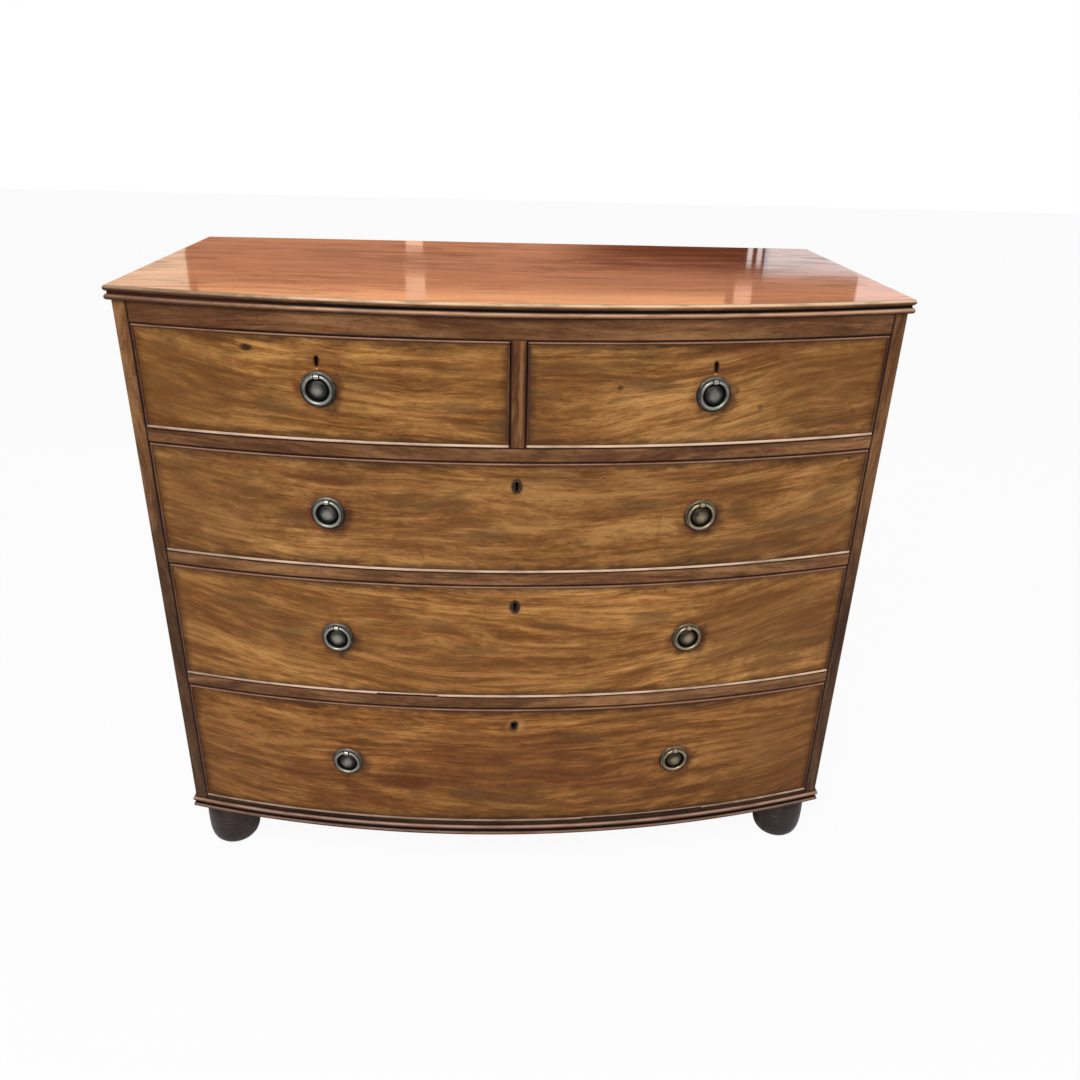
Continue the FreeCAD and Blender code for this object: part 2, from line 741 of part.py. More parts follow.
def lockCuts():
    """What is cut out of a drawer front for its lock and keyhole, measured from the front's top edge."""
    recess = newBody("recess_pattern")
    half = d.lockWide / 2 + d.fitGap
    face = d.frontThick - d.lockThick - d.fitGap
    behind = d.frontThick + d.lockThick
    block(recess, "Pad", "z", -d.lockHigh - d.fitGap, d.drawerGap, rectangle(-half, face, half, behind))
    selvedge = rectangle(-half, face - d.selvedgeLip, half, behind)
    block(recess, "Pad", "z", -d.selvedgeThick - d.fitGap, d.drawerGap, selvedge)
    keyhole = newBody("keyhole_pattern")
    wide = d.keyholeWide / 2
    drop = d.keyholeDrop - d.drawerGap
    inside = d.frontThick - d.lockThick + d.fitGap
    block(keyhole, "Pad", "y", -d.beadDeep, inside, rectangle(-wide, -drop - d.keyholeLong, wide, -drop))
    block(keyhole, "Pad", "y", -d.beadDeep, inside, roundLoop(d.keyholeRadius, ROD_SIDES, 0, -drop))
    return [recess, keyhole]


def escutcheon():
    """A thread escutcheon: a thin brass lining round the keyhole, flush with the wood."""
    body = newBody("escutcheon_pattern")
    half = d.escutcheonWide / 2
    middle = d.drawerGap - d.keyholeDrop - (d.keyholeLong - d.keyholeRadius) / 2
    reach = d.escutcheonHigh / 2

    def oval(ease):
        shoulder = half * 0.7 - ease
        wide = half - ease
        tall = reach - ease
        right = [(shoulder, -tall), (wide, -tall / 2), (wide, tall / 2), (shoulder, tall)]
        left = [(-x, z) for x, z in reversed(right)]
        return [(x, z + middle) for x, z in right + left]

    line = d.escutcheonLine
    block(body, "Pad", "y", -d.escutcheonProud, d.escutcheonThick, oval(sized(0)), oval(line))
    seat = newBody("escutcheon_seat")
    block(seat, "Pad", "y", -d.beadDeep, d.escutcheonThick, oval(-d.fitGap), oval(line + d.fitGap))
    return body, seat


# ---- drawers ----


def dovetail(shoulder, tip, centre, pitch, ease=0):
    """A dovetail in the Y-Z plane, widening from a little behind its shoulder to its tip."""
    back = shoulder + d.beadProud
    thin = pitch * d.tailShare / 2 + ease
    thick = pitch * d.tailShare * d.tailFlare / 2 + ease
    return [(tip, centre - thick), (back, centre - thin), (back, centre + thin), (tip, centre + thick)]


def drawerSide(name, hand, outerX, height):
    """One side: lapped tails at the front, where the shoulder follows the bow, pin sockets behind."""
    body = newBody(name)
    innerX = outerX - d.boxThick * hand
    rear = insideBackY - d.boxBack
    shoulder = d.frontThick + d.fitGap
    low = d.runGap
    high = height - d.sideDrop
    front = [(outerX, bowY(outerX, shoulder)), (innerX, bowY(innerX, shoulder))]
    plan = [*front, (innerX, rear), (outerX, rear)]
    block(body, "Pad", "z", low, high, plan)
    pitch = (high - low) / d.tails
    tip = bowY(outerX, d.tailLap)
    span = sorted((outerX, innerX), key=lambda size: size.value)
    outline = dovetail(bowY(outerX, shoulder), tip, low + pitch / 2, pitch)
    tail = block(body, "Pad", "x", *span, outline)
    repeatUp(body, tail, pitch, d.tails)
    backLow, backPitch = backSpacing(height)
    pin = pinShape(rear, backLow + backPitch / 2, backPitch, d.fitGap)
    socket = block(body, "Pocket", "x", *span, pin)
    repeatUp(body, socket, backPitch, d.tails)
    groove = sorted((innerX, innerX + d.sideGroove * hand), key=lambda size: size.value)
    floor = d.runGap + d.bottomRaise
    run = rectangle(tip, floor - d.fitGap, rear, floor + d.bottomBoard + d.fitGap)
    block(body, "Pocket", "x", *groove, run)
    return body


def backSpacing(height):
    """Lower edge of a drawer's back and the spacing of its pins."""
    low = d.runGap + d.bottomRaise + d.bottomBoard
    return low, (height - d.backDrop - low) / d.tails


def pinShape(rear, centre, pitch, ease=0):
    """A pin of the back in the Y-Z plane: it narrows towards the rear face of the drawer."""
    wide = pitch * d.pinShare / 2 + ease
    thin = pitch * d.pinNarrow / 2 + ease
    front = rear - d.boxThick - ease
    return [(front, centre - wide), (rear, centre - thin), (rear, centre + thin), (front, centre + wide)]


def bowedSlip(left, right, outer, inner):
    """Plan of a piece between two concentric bowed surfaces, each given by its inset."""
    front = [(left, bowY(left, outer), bowArc(outer)), (right, bowY(right, outer))]
    return [*front, (right, bowY(right, inner), bowArc(inner)), (left, bowY(left, inner))]


def drawerBack(name, left, right, height):
    body = newBody(name)
    rear = insideBackY - d.boxBack
    low, pitch = backSpacing(height)
    inner = (left + d.boxThick, right - d.boxThick)
    plan = rectangle(inner[0], rear - d.boxThick, inner[1], rear)
    block(body, "Pad", "z", low, height - d.backDrop, plan)
    for near, far in ((left, inner[0]), (inner[1], right)):
        pin = block(body, "Pad", "x", near, far, pinShape(rear, low + pitch / 2, pitch))
        repeatUp(body, pin, pitch, d.tails)
    return body


def drawerFront(name, left, right, height, cuts):
    """The bowed front, rebated all round for its cockbeads and socketed for the sides' tails."""
    body = newBody(f"{name}_board")
    gap = d.drawerGap
    bead = d.beadThick

    def layer(outer, inner, ease):
        a = left + gap + ease
        b = right - gap - ease
        block(body, "Pad", "z", gap + bead, height - gap - bead, bowedSlip(a, b, outer, inner))

    layer(d.beadDeep, d.frontThick, 0)
    layer(0, d.beadDeep, bead)
    low = d.runGap
    pitch = (height - d.sideDrop - low) / d.tails
    for hand, end in ((-1, left), (1, right)):
        outerX = end - gap * 2 * hand
        innerX = outerX - d.boxThick * hand
        tip = bowY(outerX, d.tailLap - d.fitGap)
        span = sorted((end, innerX - d.fitGap * hand), key=lambda size: size.value)
        outline = dovetail(bowY(outerX, d.frontThick), tip, low + pitch / 2, pitch, d.fitGap)
        socket = block(body, "Pocket", "x", *span, outline)
        repeatUp(body, socket, pitch, d.tails)
    a = left + gap * 2 + d.boxThick - d.sideGroove
    b = right - gap * 2 - d.boxThick + d.sideGroove
    groove = bowedSlip(a, b, d.frontThick - d.frontGroove, d.frontThick + d.frontGroove)
    floor = d.runGap + d.bottomRaise
    block(body, "Pocket", "z", floor - d.fitGap, floor + d.bottomBoard + d.fitGap, groove)
    return cutAway(name, body, cuts)


def cockbeads(name, left, right, height, cuts):
    """Four slips round the front, a little proud of it. The upper and lower ones cover its edges."""
    gap = d.drawerGap
    bead = d.beadThick
    a = left + gap
    b = right - gap
    slips = []
    for low, high, near, far, inner in (
        (gap, gap + bead, a, b, d.frontThick),
        (height - gap - bead, height - gap, a, b, d.frontThick),
        (gap + bead, height - gap - bead, a, a + bead, d.beadDeep),
        (gap + bead, height - gap - bead, b - bead, b, d.beadDeep),
    ):
        body = newBody("cockbead")
        block(body, "Pad", "z", low, high, bowedSlip(near, far, -d.beadProud, inner))
        slips.append(body)
    return cutAway(name, group(f"{name}_slips", slips), cuts)


def drawerBottom(name, left, right):
    body = newBody(name)
    a = left + d.boxThick - d.sideGroove
    b = right - d.boxThick + d.sideGroove
    deep = d.frontThick - d.frontGroove + d.fitGap
    rear = insideBackY - d.boxBack
    plan = [(a, bowY(a, deep), bowArc(deep)), (b, bowY(b, deep)), (b, rear), (a, rear)]
    floor = d.runGap + d.bottomRaise
    block(body, "Pad", "z", floor, floor + d.bottomBoard, plan)
    return body


def drawer(name, left, right, height, level, handles, keyX, lined, patterns):
    """A whole drawer: box, front, beads, lock, bolt, handle plates and rings."""
    handleZ = height / 2
    lockTop = height - d.drawerGap
    cuts = [seatOnBow(group("front_cut", [tool]), keyX, lockTop) for tool in patterns.lockCuts]
    if lined:
        cuts.append(seatOnBow(group("front_cut", [patterns.liningSeat]), keyX, lockTop))
    for x in handles:
        cuts.append(seatOnBow(group("front_cut", [patterns.drill]), x, handleZ))
    front = drawerFront(f"{name}_drawer_front", left, right, height, cuts)
    keep(f"{name}_drawer_front", place(front, z=level))
    beads = cockbeads(f"{name}_drawer_cockbeads", left, right, height, cuts[:1])
    keep(f"{name}_drawer_cockbeads", place(beads, z=level))
    outer = (left + d.drawerGap * 2, right - d.drawerGap * 2)
    sides = [drawerSide(f"{name}_side", hand, x, height) for hand, x in zip((-1, 1), outer)]
    back = drawerBack(f"{name}_back", *outer, height)
    keep(f"{name}_drawer_box", place(group(f"{name}_drawer_box", [*sides, back]), z=level))
    keep(f"{name}_drawer_bottom", place(drawerBottom(f"{name}_drawer_bottom", *outer), z=level))
    brass = [patterns.lock, patterns.lining] if lined else [patterns.lock]
    keep(f"{name}_drawer_lock", seatOnBow(group(f"{name}_drawer_lock", brass), keyX, level + lockTop))
    keep(f"{name}_lock_bolt", seatOnBow(group(f"{name}_lock_bolt", [patterns.bolt]), keyX, level + lockTop))
    plates = [seatOnBow(group("handle_plate", [patterns.handle]), x, level + handleZ) for x in handles]
    keep(f"{name}_handle_plates", group(f"{name}_handle_plates", plates))
    ringNames = [f"{name}_ring"] if len(handles) == 1 else [f"{name}_left_ring", f"{name}_right_ring"]
    for ringName, x in zip(ringNames, handles):
        keep(ringName, seatOnBow(group(ringName, [patterns.ring]), x, level + handleZ))


def drawers():
    lock, bolt = drawerLock()
    lining, liningSeat = escutcheon()
    drill = newBody("drill_pattern")
    hole = roundLoop(d.postRadius + d.fitGap * 2, ROD_SIDES)
    block(drill, "Pad", "y", -d.beadDeep, d.frontThick + d.beadDeep, hole)
    patterns = SimpleNamespace(
        lock=lock,
        bolt=bolt,
        lining=lining,
        liningSeat=liningSeat,
        lockCuts=lockCuts(),
        handle=handlePlate(),
        ring=ringPull(),
        drill=drill,
    )
    spread = d.handleSpread
    half = d.dividerWide / 2
    both = [-spread, spread]
    middle = sized(0)
    drawer("top_left", -insideX, -half, d.shortRow, shortZ, [-spread], -spread, False, patterns)
    drawer("top_right", half, insideX, d.shortRow, shortZ, [spread], spread, False, patterns)
    drawer("upper", -insideX, insideX, d.upperRow, upperZ, both, middle, True, patterns)
    drawer("middle", -insideX, insideX, d.middleRow, middleZ, both, middle, True, patterns)
    drawer("lower", -insideX, insideX, d.lowerRow, lowerZ, both, middle, False, patterns)


def checkAndExport():
    """Stop on anything that failed, then write one STEP file for each sub-part."""
    doc.recompute()
    for feature in doc.Objects:
        if {"Invalid", "Error"} & set(feature.State):
            raise RuntimeError(f"{feature.Label} failed: {feature.State}")
    os.makedirs("parts", exist_ok=True)
    for old in os.listdir("parts"):
        os.remove(os.path.join("parts", old))
    for name, feature in nodes.items():
        if feature.Shape.isNull() or not feature.Shape.isValid() or not feature.Shape.Solids:
            raise RuntimeError(f"{name} has no valid solid")
        feature.Shape.exportStep(f"parts/{name}.step")
    print(len(nodes), "sub-parts written")


topBoard()
for panel, hand in (("left_side", -1), ("right_side", 1)):
    sidePanel(panel, hand)
rails()
centreDivider()
baseMoulding()
runnersAndStops()
boards()
feet()
drawers()
checkAndExport()
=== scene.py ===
import math

import bmesh
import bpy
from mathutils import Matrix, Vector


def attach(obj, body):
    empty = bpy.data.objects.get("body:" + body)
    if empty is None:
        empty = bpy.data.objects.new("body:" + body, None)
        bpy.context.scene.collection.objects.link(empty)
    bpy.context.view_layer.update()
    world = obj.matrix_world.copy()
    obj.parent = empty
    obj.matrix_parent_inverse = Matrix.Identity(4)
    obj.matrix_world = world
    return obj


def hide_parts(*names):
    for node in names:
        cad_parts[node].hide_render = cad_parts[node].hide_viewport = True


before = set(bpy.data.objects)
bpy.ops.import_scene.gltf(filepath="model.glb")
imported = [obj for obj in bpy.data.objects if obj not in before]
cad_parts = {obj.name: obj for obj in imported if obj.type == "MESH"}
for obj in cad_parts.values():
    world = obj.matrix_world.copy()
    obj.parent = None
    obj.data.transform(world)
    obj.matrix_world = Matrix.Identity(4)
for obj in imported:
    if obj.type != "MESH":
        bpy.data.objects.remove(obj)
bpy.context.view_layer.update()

mm = 0.001  # every size is in metres unless a note says mm


def measures(**millimetres):
    return {name: size * mm for name, size in millimetres.items()}


# bow is how far the middle of the front stands out past its corners
case = measures(half=525, inside=504, cornerY=-195, bow=76, backY=273, foot=96, top=931)
bow = {"radius": (case["half"] ** 2 + case["bow"] ** 2) / (2 * case["bow"])}
bow["centre"] = case["cornerY"] - case["bow"] + bow["radius"]
rows = {  # bottom, top and the two ends of each drawer's opening
    "top_left": measures(low=761, high=903, left=-504, right=-10.5),
    "top_right": measures(low=761, high=903, left=10.5, right=504),
    "upper": measures(low=575, high=740, left=-504, right=504),
    "middle": measures(low=364, high=554, left=-504, right=504),
    "lower": measures(low=123, high=343, left=-504, right=504),
}
handleX = 258 * mm
keyDrop = 30 * mm  # from the top of the opening to the keyhole's round part
boxBack = 239 * mm  # where the back of a drawer box starts
backs = {**measures(half=514, front=263, gap=0.4, ease=1.4), "count": 5}
backs["pitch"] = 2 * backs["half"] / backs["count"]


def handlePlaces(row):
    return [x for x in (-handleX, handleX) if rows[row]["left"] < x < rows[row]["right"]]


def keyPlace(row):
    # above the one handle of a short drawer, or midway between the two of a long one
    places = handlePlaces(row)
    return sum(places) / len(places)


def bowY(x, inset=0.0):
    return bow["centre"] - math.sqrt((bow["radius"] - inset) ** 2 - x * x)


def seat(x, z):
    # stands a fitting made at the origin, facing -Y, square on the bowed face
    return Matrix.Translation((x, bowY(x), z)) @ Matrix.Rotation(math.asin(x / bow["radius"]), 4, "Z")


def bar(bm, x, inset, z, ease=0.5 * mm, segments=2):
    # a straight eased bar between the given limits; bending comes later
    verts = bmesh.ops.create_cube(bm, size=1)["verts"]
    limits = (x, inset, z)
    bmesh.ops.scale(bm, vec=[high - low for low, high in limits], verts=verts)
    bmesh.ops.translate(bm, vec=[(low + high) / 2 for low, high in limits], verts=verts)
    if ease:
        edges = list({edge for vert in verts for edge in vert.link_edges})
        bmesh.ops.bevel(
            bm, geom=edges, offset=ease, segments=segments, profile=0.5, affect="EDGES", material=-1
        )
    return bm


def cutAcross(bm, places):
    for place in places:
        everything = bm.verts[:] + bm.edges[:] + bm.faces[:]
        bmesh.ops.bisect_plane(bm, geom=everything, plane_co=(place, 0, 0), plane_no=(1, 0, 0), dist=1e-6)


def bend(bm, pitch=16 * mm):
    # every slice stays a plane across the case, and Y, the distance behind the face, follows the bow
    left = min(vert.co.x for vert in bm.verts)
    right = max(vert.co.x for vert in bm.verts)
    count = max(1, round((right - left) / pitch))
    cutAcross(bm, [left + (right - left) * step / count for step in range(1, count)])
    for vert in bm.verts:
        vert.co.y = bowY(vert.co.x, vert.co.y)
    return bm


def cutBack(bm, y):
    # square off everything behind y and close the cut
    cut = bmesh.ops.bisect_plane(
        bm,
        geom=bm.verts[:] + bm.edges[:] + bm.faces[:],
        plane_co=(0, y, 0),
        plane_no=(0, 1, 0),
        clear_outer=True,
        dist=1e-6,
    )
    edges = [part for part in cut["geom_cut"] if isinstance(part, bmesh.types.BMEdge)]
    bmesh.ops.holes_fill(bm, edges=edges)
    return bm


def lathe(bm, points, axis, centre=(0, 0, 0), steps=48):
    # points are vectors in a plane through the axis
    verts = [bm.verts.new(point) for point in points]
    edges = [bm.edges.new(pair) for pair in zip(verts, verts[1:])]
    whole = {"angle": math.tau, "steps": steps, "use_merge": True}
    bmesh.ops.spin(bm, geom=verts + edges, cent=centre, axis=axis, **whole)
    bmesh.ops.remove_doubles(bm, verts=bm.verts, dist=1e-6)


def join(bm, part, matrix=None):
    if matrix:
        part.transform(matrix)
    mesh = bpy.data.meshes.new("part")
    part.to_mesh(mesh)
    part.free()
    bm.from_mesh(mesh)
    bpy.data.meshes.remove(mesh)


def joinBowed(bm, x, inset, z, ease, segments=2, pitch=16 * mm):
    join(bm, bend(bar(bmesh.new(), x, inset, z, ease, segments), pitch))


def linked(name, data):
    made = bpy.data.objects.new(name, data)
    bpy.context.scene.collection.objects.link(made)
    return made


def modelled(name, bm):
    mesh = bpy.data.meshes.new(name)
    bm.to_mesh(mesh)
    bm.free()
    return linked(name, mesh)


def finish(name, bm, body, look, replaces=(), sharp=38, cutters=(), flats=True):
    bmesh.ops.remove_doubles(bm, verts=bm.verts, dist=1e-6)
    bmesh.ops.recalc_face_normals(bm, faces=bm.faces)
    piece = modelled(name, bm)
    for cutter in cutters:
        modifier = piece.modifiers.new("cut", "BOOLEAN")
        modifier.operation = "DIFFERENCE"
        modifier.solver = "EXACT"
        modifier.object = cutter
    if cutters:
        bpy.context.view_layer.update()
        solid = piece.evaluated_get(bpy.context.evaluated_depsgraph_get())
        cut = bpy.data.meshes.new_from_object(solid)
        piece.modifiers.clear()
        piece.data = cut
        for cutter in cutters:
            bpy.data.objects.remove(cutter)
    piece.data.shade_smooth()
    piece.data.set_sharp_from_angle(angle=math.radians(sharp))
    piece.data.materials.clear()
    piece.data.materials.append(look)
    if flats:
        # keeps the shading of wide flat faces flat right up to their eased edges
        even = piece.modifiers.new("even shading", "WEIGHTED_NORMAL")
        even.keep_sharp = True
        even.weight = 100
    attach(piece, body)
    if replaces:
        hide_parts(*replaces)
    return piece


def tool(bm, matrix=None):
    if matrix:
        bm.transform(matrix)
    bmesh.ops.recalc_face_normals(bm, faces=bm.faces)
    return modelled("tool", bm)


class Link:
    # one output socket, with the arithmetic that values use
    def __init__(self, shader, socket):
        self.shader = shader
        self.socket = socket

    def maths(self, operation, a, b):
        return self.shader.maths(operation, a, b)

    def __add__(self, other):
        return self.maths("ADD", self, other)

    def __radd__(self, other):
        return self.maths("ADD", other, self)

    def __sub__(self, other):
        return self.maths("SUBTRACT", self, other)

    def __rsub__(self, other):
        return self.maths("SUBTRACT", other, self)

    def __mul__(self, other):
        return self.maths("MULTIPLY", self, other)

    def __rmul__(self, other):
        return self.maths("MULTIPLY", other, self)

    def __truediv__(self, other):
        return self.maths("DIVIDE", self, other)

    def __rtruediv__(self, other):
        return self.maths("DIVIDE", other, self)


class Shader:
    def __init__(self, name, world=False):
        self.material = bpy.data.worlds.new(name) if world else bpy.data.materials.new(name)
        self.material.use_nodes = True
        self.nodes = self.material.node_tree.nodes
        self.links = self.material.node_tree.links
        self.nodes.clear()
        self.place = self.add("TexCoord", "Generated" if world else "Object")

    def find(self, sockets, name):
        if isinstance(name, int):
            return sockets[name]
        return next(socket for socket in sockets if name in (socket.identifier, socket.name))

    def add(self, kind, give=None, settings=None, inputs=None):
        # give names the output that is wanted, which a last node doesn't have
        node = self.nodes.new("ShaderNode" + kind)
        for name, value in (settings or {}).items():
            if name == "stops":
                elements = node.color_ramp.elements
                elements.remove(elements[1])
                for index, (position, colour) in enumerate(value):
                    element = elements[0] if index == 0 else elements.new(position)
                    element.position = position
                    element.color = (*colour, 1)
            else:
                setattr(node, name, value)
        for name, value in (inputs or {}).items():
            socket = self.find(node.inputs, name)
            if isinstance(value, Link):
                self.links.new(value.socket, socket)
            else:
                socket.default_value = value
        if give:
            return Link(self, self.find(node.outputs, give))

    def mapping(self, place, move, scale):
        inputs = {"Vector": place, "Location": move, "Scale": scale}
        return self.add("Mapping", "Vector", inputs=inputs)

    def noise(self, scale, move=(0, 0, 0), detail=3, rough=0.5, warp=0.0, place=None, give="Fac"):
        # scale is how many features there are in a metre along each axis
        spread = self.mapping(place or self.place, move, scale)
        values = {"Vector": spread, "Scale": 1.0, "Detail": detail, "Roughness": rough, "Distortion": warp}
        return self.add("TexNoise", give, inputs=values)

    def step(self, value, low, high):
        inputs = {"Value": value, "From Min": low, "From Max": high, "To Min": 0.0, "To Max": 1.0}
        return self.add("MapRange", "Result", {"interpolation_type": "SMOOTHSTEP"}, inputs)

    def ramp(self, value, *stops):
        return self.add("ValToRGB", "Color", {"stops": stops}, {"Fac": value})

    def mix(self, share, a, b, how="MIX"):
        a, b = ((*side, 1) if isinstance(side, tuple) else side for side in (a, b))
        inputs = {"Factor_Float": share, "A_Color": a, "B_Color": b}
        return self.add("Mix", "Result_Color", {"data_type": "RGBA", "blend_type": how}, inputs)

    def shifted(self, place, by, share):
        # moves a place by a share of a noise's three values
        return self.add("VectorMath", "Vector", {"operation": "MULTIPLY_ADD"}, {0: by, 1: share, 2: place})

    def length(self, vector):
        return self.add("VectorMath", "Value", {"operation": "LENGTH"}, {0: vector})

    def maths(self, operation, a, b=0.0):
        return self.add("Math", "Value", {"operation": operation}, {0: a, 1: b})

    def split(self, place=None):
        node = self.add("SeparateXYZ", "X", inputs={"Vector": place or self.place}).socket.node
        return [Link(self, output) for output in node.outputs]

    def combine(self, *values):
        return self.add("CombineXYZ", "Vector", inputs=dict(zip("XYZ", values)))

    def bump(self, height, strength, distance):
        inputs = {"Height": height, "Strength": strength, "Distance": distance}
        return self.add("Bump", "Normal", inputs=inputs)

    def surface(self, **values):
        inputs = {name.replace("_", " "): value for name, value in values.items()}
        shaded = self.add("BsdfPrincipled", "BSDF", inputs=inputs)
        self.add("OutputMaterial", inputs={"Surface": shaded})
        return self.material


def colour(red, green, blue):
    # a colour as a painter would pick it, 0 to 255, made linear
    def linear(value):
        value /= 255
        return value / 12.92 if value <= 0.04045 else ((value + 0.055) / 1.055) ** 2.4

    return linear(red), linear(green), linear(blue)


plainTone = {"figure": 0.8, "sweep": 0.0, "coat": 0.08, "level": 0.1, "rough": 0.42}
woodTones = {
    # the front's hole tone is near black, painted shade for a recess
    "front": dict(
        plainTone, figure=1.0, sweep=0.2, coat=0.06, dark=(104, 64, 29), mid=(150, 102, 55),
        light=(188, 139, 82), smudge=(88, 63, 35), grime=(40, 24, 15), red=(92, 42, 20), hole=(8, 6, 5),
    ),
    "case": dict(
        plainTone, dark=(80, 47, 27), mid=(116, 77, 46), light=(150, 107, 69), smudge=(60, 38, 24),
        grime=(26, 15, 10),
    ),
    "edge": dict(
        plainTone, coat=0.04, rough=0.45, dark=(74, 42, 27), mid=(112, 74, 48), light=(148, 108, 74),
        smudge=(60, 34, 22), grime=(9, 5, 4),
    ),
    "bead": dict(
        plainTone, figure=0.6, coat=0.16, level=0.2, rough=0.4, dark=(62, 32, 20), mid=(92, 54, 35),
        light=(124, 80, 55), smudge=(44, 26, 17), grime=(24, 14, 10),
    ),
    "top": dict(
        plainTone, figure=0.9, coat=0.7, level=0.0, rough=0.5, dark=(112, 54, 31), mid=(147, 80, 48),
        light=(180, 111, 70), smudge=(96, 46, 29), grime=(44, 20, 13), red=(100, 40, 26),
    ),
}


def spotMask(sh, across, level, wide, high, axis, rag):
    # a ragged round patch centred at one place of the front (axis Z) or of the top (axis Y)
    if axis == "Y":
        move, scale, fine = (-across / wide, -level / high, 0), (1 / wide, 1 / high, 0), 14
    else:
        move, scale, fine = (-across / wide, 0, -level / high), (1 / wide, 0, 1 / high), 60
    away = sh.length(sh.mapping(sh.place, move, scale))
    uneven = sh.noise((fine, fine, fine), (across, 0, level), 3, 0.6)
    return 1 - sh.step(away + (uneven - 0.5) * rag, 0.35, 1.0)


def shakes(sh, seed, share):
    # hairline cracks: long thin lines that start and stop
    shake = sh.noise((13, 9, 5.5), (seed * 9, 0, 0), 2, 0.45, 0.5)
    off = sh.maths("ABSOLUTE", shake - 0.5)
    area = sh.step(sh.noise((4, 4, 5), (seed * 11, 0, 2), 2), 0.52, 0.62) * 0.75
    broken = sh.step(sh.noise((24, 24, 24), (seed * 3, 0, 2), 3), 0.48, 0.56)
    return (1 - sh.step(off, 0.0005, 0.0045)) * area * broken * share


def edgeGrimeAndDarkEnds(sh, tone, look, seed, edges):
    # grime and handling gather along the beads; the front is also darker towards its left and right ends
    x, y, z = sh.split()
    left, right, low, high = edges
    inward = sh.maths("MINIMUM", x - left, right - x)
    upward = sh.maths("MINIMUM", z - low, high - z)
    ragged = sh.noise((40, 30, 60), (seed, 2, 0), 3, 0.6)
    rim = 1 - sh.step(sh.maths("MINIMUM", inward, upward) - (ragged - 0.5) * 0.02, 0.0, 0.013)
    tone = sh.mix(rim * 0.65, tone, look["grime"])
    return sh.mix((1 - sh.step(inward, 0.0, 0.14)) * 0.3, tone, look["dark"])


def bleached(sh, tone, uneven, deep, share, pale):
    # a pale strip behind the bowed front edge
    x, y, z = sh.split()
    inset = bow["radius"] - sh.length(sh.combine(x, y - bow["centre"], 0.0))
    return sh.mix((1 - sh.step(inset + (uneven - 0.5) * 0.12, 0.0, deep)) * share, tone, pale, "MULTIPLY")


def wornAndLit(sh, tone, seed, low, high, share, pale):
    # painted highlight on the arris that faces up, partly polish worn through to pale wood
    facing = sh.split(sh.add("NewGeometry", "Normal"))[2]
    patchy = sh.step(sh.noise((18, 18, 120), (seed, 3, 3), 3, 0.6), 0.3, 0.6)
    arris = sh.step(facing, low, high) * (1 - sh.step(facing, 0.985, 0.999))
    return sh.mix(arris * (patchy * 0.5 + 0.5) * share, tone, pale)


